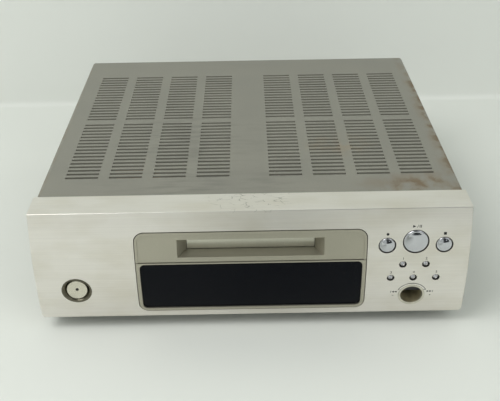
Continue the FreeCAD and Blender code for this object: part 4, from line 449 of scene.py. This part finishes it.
def screen_glass():
    """Display tube: dark glass with a pale phosphor haze behind it."""
    made, tree, shader = material("Display glass, coated", Roughness=0.08, IOR=1.52)
    cells = clouds(tree, (3, 3, 2), 0.45, 0.6)
    feed(tree, shader, Base_Color=mixed(tree, cells, linear("#0E1719"), linear("#1C2A2C")))
    return made


def finned_aluminium():
    """Extruded and anodised heat sink: matt silver with lines drawn along the fins."""
    made, tree, shader = material("Aluminium, extruded", Metallic=1.0, Roughness=0.4)
    lines = clouds(tree, (0.5, 0.5, 30), 0.3, 0.7, 2.0)
    feed(tree, shader, Base_Color=shade(tree, linear("#C2C4C3"), lines, 0.9, 1.0))
    relief(tree, shader, (lines, 0.01))
    return made


def laminated_core():
    """Stacked transformer plates: dark varnished steel with a fine edge line for each plate."""
    made, tree, shader = material("Transformer steel, laminated", Metallic=0.7, Roughness=0.5)
    # Plates are 0.5 mm thick and drawn 1 mm apart, so that they show
    level = add(tree, "ShaderNodeSeparateXYZ", {0: place(tree, (1, 1, 1))}).outputs[1]
    wave = add(tree, "ShaderNodeMath", {0: level, 1: 2 * math.pi}, operation="MULTIPLY").outputs[0]
    plates = spread(tree, add(tree, "ShaderNodeMath", {0: wave}, operation="SINE").outputs[0], -1.0, 1.0)
    feed(tree, shader, Base_Color=shade(tree, linear("#6A645A"), plates, 0.72, 1.05))
    relief(tree, shader, (plates, 0.05))
    return made


def winding_tape():
    """Polyester tape round the coil: amber yellow with overlapping turns."""
    made, tree, shader = material("Polyester tape, wound", Roughness=0.25, IOR=1.6)
    level = add(tree, "ShaderNodeSeparateXYZ", {0: place(tree, (1, 1, 7))}).outputs[2]
    turn = add(tree, "ShaderNodeMath", {0: level}, operation="FRACT").outputs[0]
    feed(tree, shader, Base_Color=shade(tree, linear("#C58A2E"), turn, 0.8, 1.05))
    relief(tree, shader, (turn, 0.06))
    return made


def ribbon_vinyl():
    """Flat cable: grey vinyl with a groove between the conductors and one red edge."""
    made, tree, shader = material("Vinyl ribbon, moulded", Roughness=0.45, IOR=1.53)
    # Conductors at 1.27 mm, as the real cable has them
    across = add(tree, "ShaderNodeSeparateXYZ", {0: place(tree, (1.27, 1, 1))}).outputs[0]
    wave = add(tree, "ShaderNodeMath", {0: across, 1: 2 * math.pi}, operation="MULTIPLY").outputs[0]
    cores = spread(tree, add(tree, "ShaderNodeMath", {0: wave}, operation="SINE").outputs[0], -1.0, 1.0)
    feed(tree, shader, Base_Color=shade(tree, linear("#A9ABA9"), cores, 0.8, 1.0))
    relief(tree, shader, (cores, 0.15))
    return made


def clear_lens():
    """Pickup lens: clear glass with a bluish coating."""
    made, tree, shader = material("Lens glass, coated", Base_Color=linear("#6C7FA8"), Roughness=0.03, IOR=1.52)
    ring = clouds(tree, (1, 1, 1), 0.3, 0.7)
    feed(tree, shader, Base_Color=mixed(tree, ring, linear("#5B6E9C"), linear("#7D6BA0")))
    return made


def light_pipe():
    """Unlit lamp in the power button: dark, glassy and slightly domed."""
    made, tree, shader = material("Light pipe, smoked", Roughness=0.12, IOR=1.49)
    cloud = clouds(tree, (0.8, 0.8, 0.8), 0.3, 0.7)
    feed(tree, shader, Base_Color=mixed(tree, cloud, linear("#0B0907"), linear("#1A1310")))
    return made


def nylon():
    """Moulded nylon gears: milky white with a waxy sheen."""
    made, tree, shader = material("Nylon, moulded", Roughness=0.4, IOR=1.53, Subsurface_Weight=0.1)
    shader.inputs["Subsurface Radius"].default_value = (MM, MM, MM)
    cloud = clouds(tree, (4, 4, 4), 0.3, 0.7)
    feed(tree, shader, Base_Color=mixed(tree, cloud, linear("#DAD7CB"), linear("#E6E4DB")))
    relief(tree, shader, (cloud, 0.01))
    return made


def printing_ink():
    """Screen printed ink: flat dark grey with slightly uneven cover."""
    made, tree, shader = material("Printing ink, screened", Roughness=0.55, IOR=1.5)
    cloud = clouds(tree, (0.3, 0.3, 0.3), 0.3, 0.7, 2.0)
    feed(tree, shader, Base_Color=shade(tree, colours().ink, cloud, 0.85, 1.2))
    return made


def new_object(name, mesh_maker, body, finish, smooth_angle=None):
    """A piece built by mesh_maker into an empty mesh, riding on a body."""
    mesh = bpy.data.meshes.new(name)
    work = bmesh.new()
    mesh_maker(work)
    bmesh.ops.recalc_face_normals(work, faces=work.faces)
    work.to_mesh(mesh)
    work.free()
    if smooth_angle:
        mesh.polygons.foreach_set("use_smooth", [True] * len(mesh.polygons))
        mesh.set_sharp_from_angle(angle=math.radians(smooth_angle))
    made = bpy.data.objects.new(name, mesh)
    bpy.context.scene.collection.objects.link(made)
    mesh.materials.append(finish)
    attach(made, body)
    return made


def lathe(work, profile, centre, segments):
    """Turns a profile of (radius, y) about a line along Y through the centre."""
    rings = []
    for radius, y in profile:
        ring = []
        for i in range(segments if radius > 0 else 1):
            angle = 2 * math.pi * i / segments
            x, z = centre.x + radius * math.cos(angle), centre.z + radius * math.sin(angle)
            ring.append(work.verts.new((x, y, z)))
        rings.append(ring)
    for first, second in zip(rings, rings[1:]):
        for i in range(segments):
            j = (i + 1) % segments
            corners = [first[i % len(first)], first[j % len(first)],
                       second[j % len(second)], second[i % len(second)]]
            work.faces.new(list(dict.fromkeys(corners)))


def middle(node):
    low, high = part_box(node)
    return (low + high) / 2


class DECK_OT_front_panel(bpy.types.Operator):
    """Finish the bowed front panel"""
    bl_idname = "deck.front_panel"
    bl_label = "Front panel"

    def execute(self, context):
        cover(anodised_aluminium(), "front_panel")
        return {"FINISHED"}


class DECK_OT_case(bpy.types.Operator):
    """Finish the cover, rear panel, tray, feet and screws"""
    bl_idname = "deck.case"
    bl_label = "Case"

    def execute(self, context):
        cover(painted_steel("Enamelled steel, worn", True), "top_cover")
        cover(painted_steel("Enamelled steel, clean", False), "rear_panel")
        cover(zinc_plate("Zinc plate, pressed", colours().zinc), "bottom_chassis")
        cover(zinc_plate("Zinc plate, bright", linear("#C9CBC8"), 0.3), "case_screws")
        cover(moulded_plastic("Rubber and plastic, moulded", linear("#1C1C1D"), 0.6), "feet")
        return {"FINISHED"}


class DECK_OT_plaque(bpy.types.Operator):
    """Finish the slot surround, disc door, display frame and window"""
    bl_idname = "deck.plaque"
    bl_label = "Slot and display"

    def execute(self, context):
        cover(metallic_paint("Champagne paint, satin", colours().plaque, 0.36), "slot_surround", "display_frame")
        cover(metallic_paint("Champagne paint, fine", colours().door, 0.34), "slot_door")
        cover(smoked_acrylic(), "display_window")
        cover(screen_glass(), "display_tube")
        return {"FINISHED"}


class DECK_OT_keys(bpy.types.Operator):
    """Turn the chrome shuttle keys and the small keys"""
    bl_idname = "deck.keys"
    bl_label = "Chrome keys"

    def execute(self, context):
        chrome = chrome_plate()
        for name in ("record_button", "play_button", "stop_button"):
            self.turn(name, chrome, sizes().shoulder, sizes().crown)
        for name in SMALL_KEYS:
            self.turn(name, chrome, sizes().small_shoulder, sizes().small_crown)
        return {"FINISHED"}

    def turn(self, node, finish, shoulder, crown):
        """A cap with a nearly flat face and a round shoulder, a skirt and the stem behind it."""
        low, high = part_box(node)
        radius = (high.x - low.x) / 2
        skirt = low.y + KEY_SKIRT
        stem = KEY_STEM_SHARE * radius
        flat = radius - shoulder
        profile = [(0, low.y)]
        for i in range(1, KEY_STEPS + 1):
            share = i / KEY_STEPS
            profile.append((flat * share, low.y + crown * share ** 2))
        for i in range(1, KEY_STEPS + 1):
            angle = math.pi / 2 * i / KEY_STEPS
            drop = crown + shoulder * (1 - math.cos(angle))
            profile.append((flat + shoulder * math.sin(angle), low.y + drop))
        profile += [(radius, skirt), (stem, skirt), (stem, high.y), (0, high.y)]
        centre = middle(node)
        cap = new_object(node + "_cap", lambda work: lathe(work, profile, centre, KEY_SEGMENTS), node, finish,
                         40)
        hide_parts(node)


class DECK_OT_power(bpy.types.Operator):
    """Finish the power button, its ring and its lamp"""
    bl_idname = "deck.power"
    bl_label = "Power button"

    def execute(self, context):
        axis = middle("power_button") / MM
        centre = (axis.x, 0, axis.z)
        cover(spun_metal("Nickel plate, spun", "#DDD8C9", centre), "power_button")
        # Painted shade: the ring is a darker copy of the button's spun nickel, for the dimmer cone round the
        # button
        cover(spun_metal("Nickel plate, spun, with painted shade", "#6F6B5E", centre), "power_ring")
        cover(light_pipe(), "power_lens")
        return {"FINISHED"}


class DECK_OT_selector(bpy.types.Operator):
    """Finish the selector's collar and socket"""
    bl_idname = "deck.selector"
    bl_label = "Selector"

    def execute(self, context):
        axis = middle("selector_well") / MM
        cover(bronze_collar((axis.x, 0, axis.z)), "selector_well")
        cover(moulded_plastic("Acetal, moulded", colours().plastic, 0.4), "selector_rotor")
        return {"FINISHED"}


class DECK_OT_marks(bpy.types.Operator):
    """Print the symbols, the arc and the numbers on the front panel"""
    bl_idname = "deck.marks"
    bl_label = "Printed marks"

    def execute(self, context):
        self.ink = printing_ink()
        self.face = BVHTree.FromObject(NODES["front_panel"], context.evaluated_depsgraph_get())
        size, rise = sizes().symbol, sizes().symbol_rise
        for node, name, shapes in (("record_button", "record_dot", [self.disc(0, 0, size / 2)]),
                                   ("play_button", "play_pause", self.play_pause(size)),
                                   ("stop_button", "stop_square", [self.bar(0, size)])):
            low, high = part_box(node)
            self.place_mark("mark_" + name, shapes, (low.x + high.x) / 2, high.z + rise)
        selector = middle("selector_well")
        reach, level = SKIP_REACH, selector.z + SKIP_RISE
        below = level - SIGN_DROP * size
        long, thin = SIGN_LENGTH * size, SIGN_WIDTH * size
        self.place_mark("mark_skip_back", self.skip(size, -1), selector.x - reach, level)
        self.place_mark("mark_skip_on", self.skip(size, 1), selector.x + reach, level)
        self.place_mark("mark_minus", [self.bar(0, long, thin)], selector.x - reach, below)
        plus = [self.bar(0, long, thin), self.bar(0, thin, long)]
        self.place_mark("mark_plus", plus, selector.x + reach, below)
        arc = self.arc(sizes().arc_radius, sizes().arc_line, ARC_LIFT)
        self.place_mark("mark_arc", [arc], selector.x, selector.z)
        for number, node in enumerate(SMALL_KEYS, 1):
            where = middle(node)
            self.place_number(str(number), where.x, where.z + sizes().numeral_rise)
        return {"FINISHED"}

    def bar(self, x, wide, high=None):
        w, h = wide / 2, (high or wide) / 2
        return [(x - w, -h), (x + w, -h), (x + w, h), (x - w, h)]

    def disc(self, x, z, radius, sides=32):
        angles = [2 * math.pi * i / sides for i in range(sides)]
        return [(x + radius * math.cos(a), z + radius * math.sin(a)) for a in angles]

    def arrow(self, x, size, way):
        h = size / 2
        return [(x - way * h, -h), (x + way * h, 0), (x - way * h, h)]

    def play_pause(self, size):
        slash = [(0.05 * size, -size / 2), (0.2 * size, -size / 2),
                 (0.6 * size, size / 2), (0.45 * size, size / 2)]
        return [self.arrow(-0.85 * size, size, 1), slash, self.bar(1.0 * size, 0.24 * size, size),
                self.bar(1.5 * size, 0.24 * size, size)]

    def skip(self, size, way):
        small = 0.85 * size
        return [self.arrow(-way * 0.85 * size, small, way), self.arrow(way * 0.1 * size, small, way),
                self.bar(way * 0.85 * size, 0.16 * size, small)]

    def arc(self, radius, line, lift):
        """A thin ring sector, lift degrees above the level at both ends."""
        steps = 48
        angles = [math.radians(lift + (180 - 2 * lift) * i / steps) for i in range(steps + 1)]
        outer = [((radius + line / 2) * math.cos(a), (radius + line / 2) * math.sin(a)) for a in angles]
        inner = [((radius - line / 2) * math.cos(a), (radius - line / 2) * math.sin(a)) for a in angles]
        return outer + inner[::-1]

    def seat(self, x, z):
        """Point of the bowed face at x and z, and the face's direction there."""
        point, normal, _, _ = self.face.ray_cast(Vector((x, CAD_BOX[0].y - 0.01, z)), FRONT)
        if point is None:
            raise RuntimeError(f"no front panel at {x:.4f}, {z:.4f}")
        return point, normal

    def place_mark(self, name, shapes, x, z):
        """Flat outlines laid on the bowed face as a thin film of ink; each point is seated by itself."""
        def build(work):
            for shape in shapes:
                rims = []
                for lift in (0.0, sizes().ink):
                    rim = []
                    for u, v in shape:
                        point, normal = self.seat(x + u, z + v) if self.on_face(x + u, z + v) else self.seat(x, z)
                        rim.append(work.verts.new(point + normal * (lift + INK_SEAT)))
                    rims.append(rim)
                back, top = rims
                for i in range(len(shape)):
                    j = (i + 1) % len(shape)
                    work.faces.new((back[i], back[j], top[j], top[i]))
                caps = [work.faces.new(top), work.faces.new(back[::-1])]
                bmesh.ops.triangulate(work, faces=caps)
        new_object(name, build, "root", self.ink)

    def on_face(self, x, z):
        return self.face.ray_cast(Vector((x, CAD_BOX[0].y - 0.01, z)), FRONT)[0] is not None

    def place_number(self, text, x, z):
        curve = bpy.data.curves.new("number_" + text, "FONT")
        curve.body = text
        curve.size = sizes().numeral / 0.72
        curve.align_x = "CENTER"
        curve.extrude = sizes().ink / 2
        curve.resolution_u = 6
        letter = bpy.data.objects.new("number_" + text, curve)
        point, normal = self.seat(x, z)
        right = Vector((1, 0, 0))
        upward = normal.cross(right).normalized() * -1
        if upward.z < 0:
            upward = -upward
        turn = Matrix((right, upward, right.cross(upward))).transposed().to_4x4()
        letter.matrix_world = Matrix.Translation(point + normal * sizes().ink * 0.6) @ turn @ Matrix.Translation(
            (0, -sizes().numeral / 2, 0))
        bpy.context.scene.collection.objects.link(letter)
        curve.materials.append(self.ink)
        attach(letter, "root")


class DECK_OT_drive(bpy.types.Operator):
    """Finish the disc drive"""
    bl_idname = "deck.drive"
    bl_label = "Disc drive"

    def execute(self, context):
        cover(zinc_plate("Zinc plate, stamped", colours().zinc), "drive_base", "drive_cradle", "cam_slider",
              "cartridge_holder", "door_spring", "selector_encoder")
        cover(zinc_plate("Nickel plate, drawn", linear("#C8C6BE"), 0.28), "drive_motors", "guide_rails",
              "head_arm", "socket_contacts", "shield_can")
        cover(zinc_plate("Zinc plate, turned", linear("#C9CBC8"), 0.3), "drive_fasteners")
        cover(moulded_plastic("Butyl rubber, moulded", linear("#202022"), 0.7), "drive_dampers")
        cover(nylon(), "loading_gear", "loading_pinion", "sled_gear", "selector_pusher")
        cover(moulded_plastic("Polycarbonate, moulded", linear("#1A1B1D"), 0.35), "pickup_sled", "turntable")
        cover(clear_lens(), "pickup_lens")
        return {"FINISHED"}


class DECK_OT_electronics(bpy.types.Operator):
    """Finish the boards, components and leads"""
    bl_idname = "deck.electronics"
    bl_label = "Electronics"

    def execute(self, context):
        cover(board_laminate(), "circuit_boards", "front_boards")
        cover(component_bodies(), "board_components", "key_switches")
        cover(finned_aluminium(), "heat_sink")
        cover(laminated_core(), "transformer_core")
        cover(winding_tape(), "transformer_winding")
        cover(ribbon_vinyl(), "ribbon_leads")
        cover(moulded_plastic("Polystyrene, moulded", linear("#2A2B2C"), 0.55), "front_frame")
        return {"FINISHED"}


class DECK_OT_sockets(bpy.types.Operator):
    """Finish the rear sockets"""
    bl_idname = "deck.sockets"
    bl_label = "Rear sockets"

    def execute(self, context):
        cover(moulded_plastic("Phenolic, moulded", colours().plastic, 0.45), "line_socket_block",
              "optical_sockets", "mains_inlet")
        cover(moulded_plastic("Acetal, white", colours().white_insert, 0.4), "line_inserts_left")
        cover(moulded_plastic("Acetal, red", colours().red_insert, 0.4), "line_inserts_right")
        cover(moulded_plastic("Acetal, black", linear("#101112"), 0.3), "optical_shutter_left",
              "optical_shutter_right")
        return {"FINISHED"}


class DECK_OT_stage(bpy.types.Operator):
    """Set up the floor, the wall, the lamps and the camera"""
    bl_idname = "deck.stage"
    bl_label = "Stage"

    def execute(self, context):
        self.settings = context.scene.deck_stage
        self.floor_and_wall()
        self.lamps()
        self.camera()
        context.scene.view_settings.view_transform = "Standard"
        return {"FINISHED"}

    def floor_and_wall(self):
        """A floor that turns up into a wall by a small cove."""
        reach, front, height, cove = 2.2, -2.4, 1.7, 5.0 * MM
        wall = CAD_BOX[1].y + self.settings.wall_gap
        line = [(front, 0.0)]
        for i in range(9):
            angle = math.pi / 2 * i / 8
            line.append((wall - cove + cove * math.sin(angle), cove - cove * math.cos(angle)))
        line.append((wall, height))
        mesh = bpy.data.meshes.new(FLOOR)
        corners = [(side * reach, y, z) for y, z in line for side in (-1, 1)]
        faces = [(2 * i, 2 * i + 1, 2 * i + 3, 2 * i + 2) for i in range(len(line) - 1)]
        # The floor goes on behind the wall, for the views from there
        start = len(corners)
        corners += [(side * reach, y, 0.0) for y in (wall - cove, -front) for side in (-1, 1)]
        faces.append((start, start + 1, start + 3, start + 2))
        mesh.from_pydata(corners, [], faces)
        mesh.polygons.foreach_set("use_smooth", [True] * len(faces))
        made = bpy.data.objects.new(FLOOR, mesh)
        bpy.context.scene.collection.objects.link(made)
        paint, tree, shader = material("Matt board, pale", Roughness=0.8, Specular_IOR_Level=0.2)
        cloud = clouds(tree, (300, 300, 300), 0.3, 0.7)
        tone = shade(tree, self.settings.floor, cloud, 0.985, 1.0)
        # Painted reflection: in glossy rays only, the floor before its middle is darker, so the panel's sheen
        # mirrors a dark patch there
        mirrored = add(tree, "ShaderNodeLightPath").outputs["Is Glossy Ray"]
        dull = sum_of(tree, "MULTIPLY", spot(tree, (18, -420, 0), (80, 330, 1e6), 0.2), mirrored)
        feed(tree, shader, Base_Color=mixed(tree, dull, tone, linear("#9A9C96")))
        # From behind, the wall lets the view through
        clear = add(tree, "ShaderNodeBsdfTransparent").outputs[0]
        back = add(tree, "ShaderNodeNewGeometry").outputs["Backfacing"]
        both = add(tree, "ShaderNodeMixShader", {0: back, 1: shader.outputs[0], 2: clear}).outputs[0]
        tree.links.new(both, tree.nodes["Material Output"].inputs["Surface"])
        mesh.materials.append(paint)

    def lamps(self):
        self.lamp("soft_key", (-0.75, -0.75, 1.25), 0.9, self.settings.key_power, (1.0, 1.0, 0.99))
        self.lamp("soft_fill", (0.9, -1.0, 0.9), 1.0, self.settings.fill_power, (0.97, 0.985, 1.0))
        world = bpy.data.worlds.new("Room")
        bpy.context.scene.world = world
        world.use_nodes = True
        tree = world.node_tree
        tree.nodes.clear()
        light = add(tree, "ShaderNodeBackground", {"Color": linear("#D5DAD6"), "Strength": self.settings.sky})
        seen = add(tree, "ShaderNodeBackground", {"Color": linear("#D1D6D0"), "Strength": 1.0})
        camera_ray = add(tree, "ShaderNodeLightPath").outputs["Is Camera Ray"]
        # A darker room ahead and to the right, which the keys and the curved panel mirror
        towards = add(tree, "ShaderNodeTexCoord").outputs["Generated"]
        facing = add(tree, "ShaderNodeVectorMath", {0: towards, 1: (0.15, -0.92, 0.36)}, operation="DOT_PRODUCT")
        sideways = add(tree, "ShaderNodeSeparateXYZ", {0: towards}).outputs[0]
        right = spread(tree, sideways, -0.12, 0.06)
        dark = sum_of(tree, "MULTIPLY", spread(tree, facing.outputs["Value"], 0.5, 0.8), right)
        glossy = add(tree, "ShaderNodeLightPath").outputs["Is Glossy Ray"]
        dim = add(tree, "ShaderNodeBackground", {"Color": linear("#3C3F40"), "Strength": self.settings.sky})
        mirrored = sum_of(tree, "MULTIPLY", dark, glossy)
        room = add(tree, "ShaderNodeMixShader", {0: mirrored, 1: light.outputs[0], 2: dim.outputs[0]})
        both = add(tree, "ShaderNodeMixShader", {0: camera_ray, 1: room.outputs[0], 2: seen.outputs[0]})
        add(tree, "ShaderNodeOutputWorld", {"Surface": both.outputs[0]})

    def lamp(self, name, where, size, power, tint):
        data = bpy.data.lights.new(name, "AREA")
        data.shape = "SQUARE"
        data.size = size
        data.energy = power
        data.color = tint
        made = bpy.data.objects.new(name, data)
        made.location = where
        aim = Vector((0, 0, 0.03)) - made.location
        made.rotation_euler = aim.to_track_quat("-Z", "Y").to_euler()
        bpy.context.scene.collection.objects.link(made)

    def camera(self):
        pitch, yaw, roll = (math.radians(a) for a in (CAMERA_PITCH, CAMERA_YAW, CAMERA_ROLL))
        ahead = Vector((math.sin(yaw) * math.cos(pitch), math.cos(yaw) * math.cos(pitch), -math.sin(pitch)))
        level = Vector((math.cos(yaw), -math.sin(yaw), 0))
        above = level.cross(ahead)
        right = level * math.cos(roll) + above * math.sin(roll)
        top = above * math.cos(roll) - level * math.sin(roll)
        data = bpy.data.cameras.new("camera")
        data.lens = CAMERA_LENS
        data.sensor_width = SENSOR_WIDTH
        data.clip_start, data.clip_end = 0.01, 20.0
        made = bpy.data.objects.new("camera", data)
        turn = Matrix((right, top, -ahead)).transposed().to_4x4()
        made.matrix_world = Matrix.Translation(CAMERA_PLACE) @ turn
        bpy.context.scene.collection.objects.link(made)
        bpy.context.scene.camera = made


STEPS = (DECK_OT_stage, DECK_OT_front_panel, DECK_OT_case, DECK_OT_plaque, DECK_OT_keys, DECK_OT_power,
         DECK_OT_selector, DECK_OT_marks, DECK_OT_drive, DECK_OT_electronics, DECK_OT_sockets)


class DECK_PT_sidebar(bpy.types.Panel):
    """Lists the steps that dress the deck, with their colours and sizes"""
    bl_idname = "DECK_PT_sidebar"
    bl_label = "Deck"
    bl_space_type = "VIEW_3D"
    bl_region_type = "UI"
    bl_category = "Deck"

    def draw(self, context):
        for step in STEPS:
            self.layout.operator(step.bl_idname)
        for group in (context.scene.deck_colours, context.scene.deck_sizes, context.scene.deck_stage):
            for name in group.__annotations__:
                self.layout.prop(group, name)


CLASSES = (DeckColours, DeckSizes, DeckStage, *STEPS, DECK_PT_sidebar)


def register():
    for each in CLASSES:
        bpy.utils.register_class(each)
    bpy.types.Scene.deck_colours = PointerProperty(type=DeckColours)
    bpy.types.Scene.deck_sizes = PointerProperty(type=DeckSizes)
    bpy.types.Scene.deck_stage = PointerProperty(type=DeckStage)


def unregister():
    del bpy.types.Scene.deck_colours, bpy.types.Scene.deck_sizes, bpy.types.Scene.deck_stage
    for each in reversed(CLASSES):
        bpy.utils.unregister_class(each)


def main():
    register()
    for step in STEPS:
        group, name = step.bl_idname.split(".")
        getattr(getattr(bpy.ops, group), name)()
    bpy.context.view_layer.update()


if __name__ == "__main__":
    main()
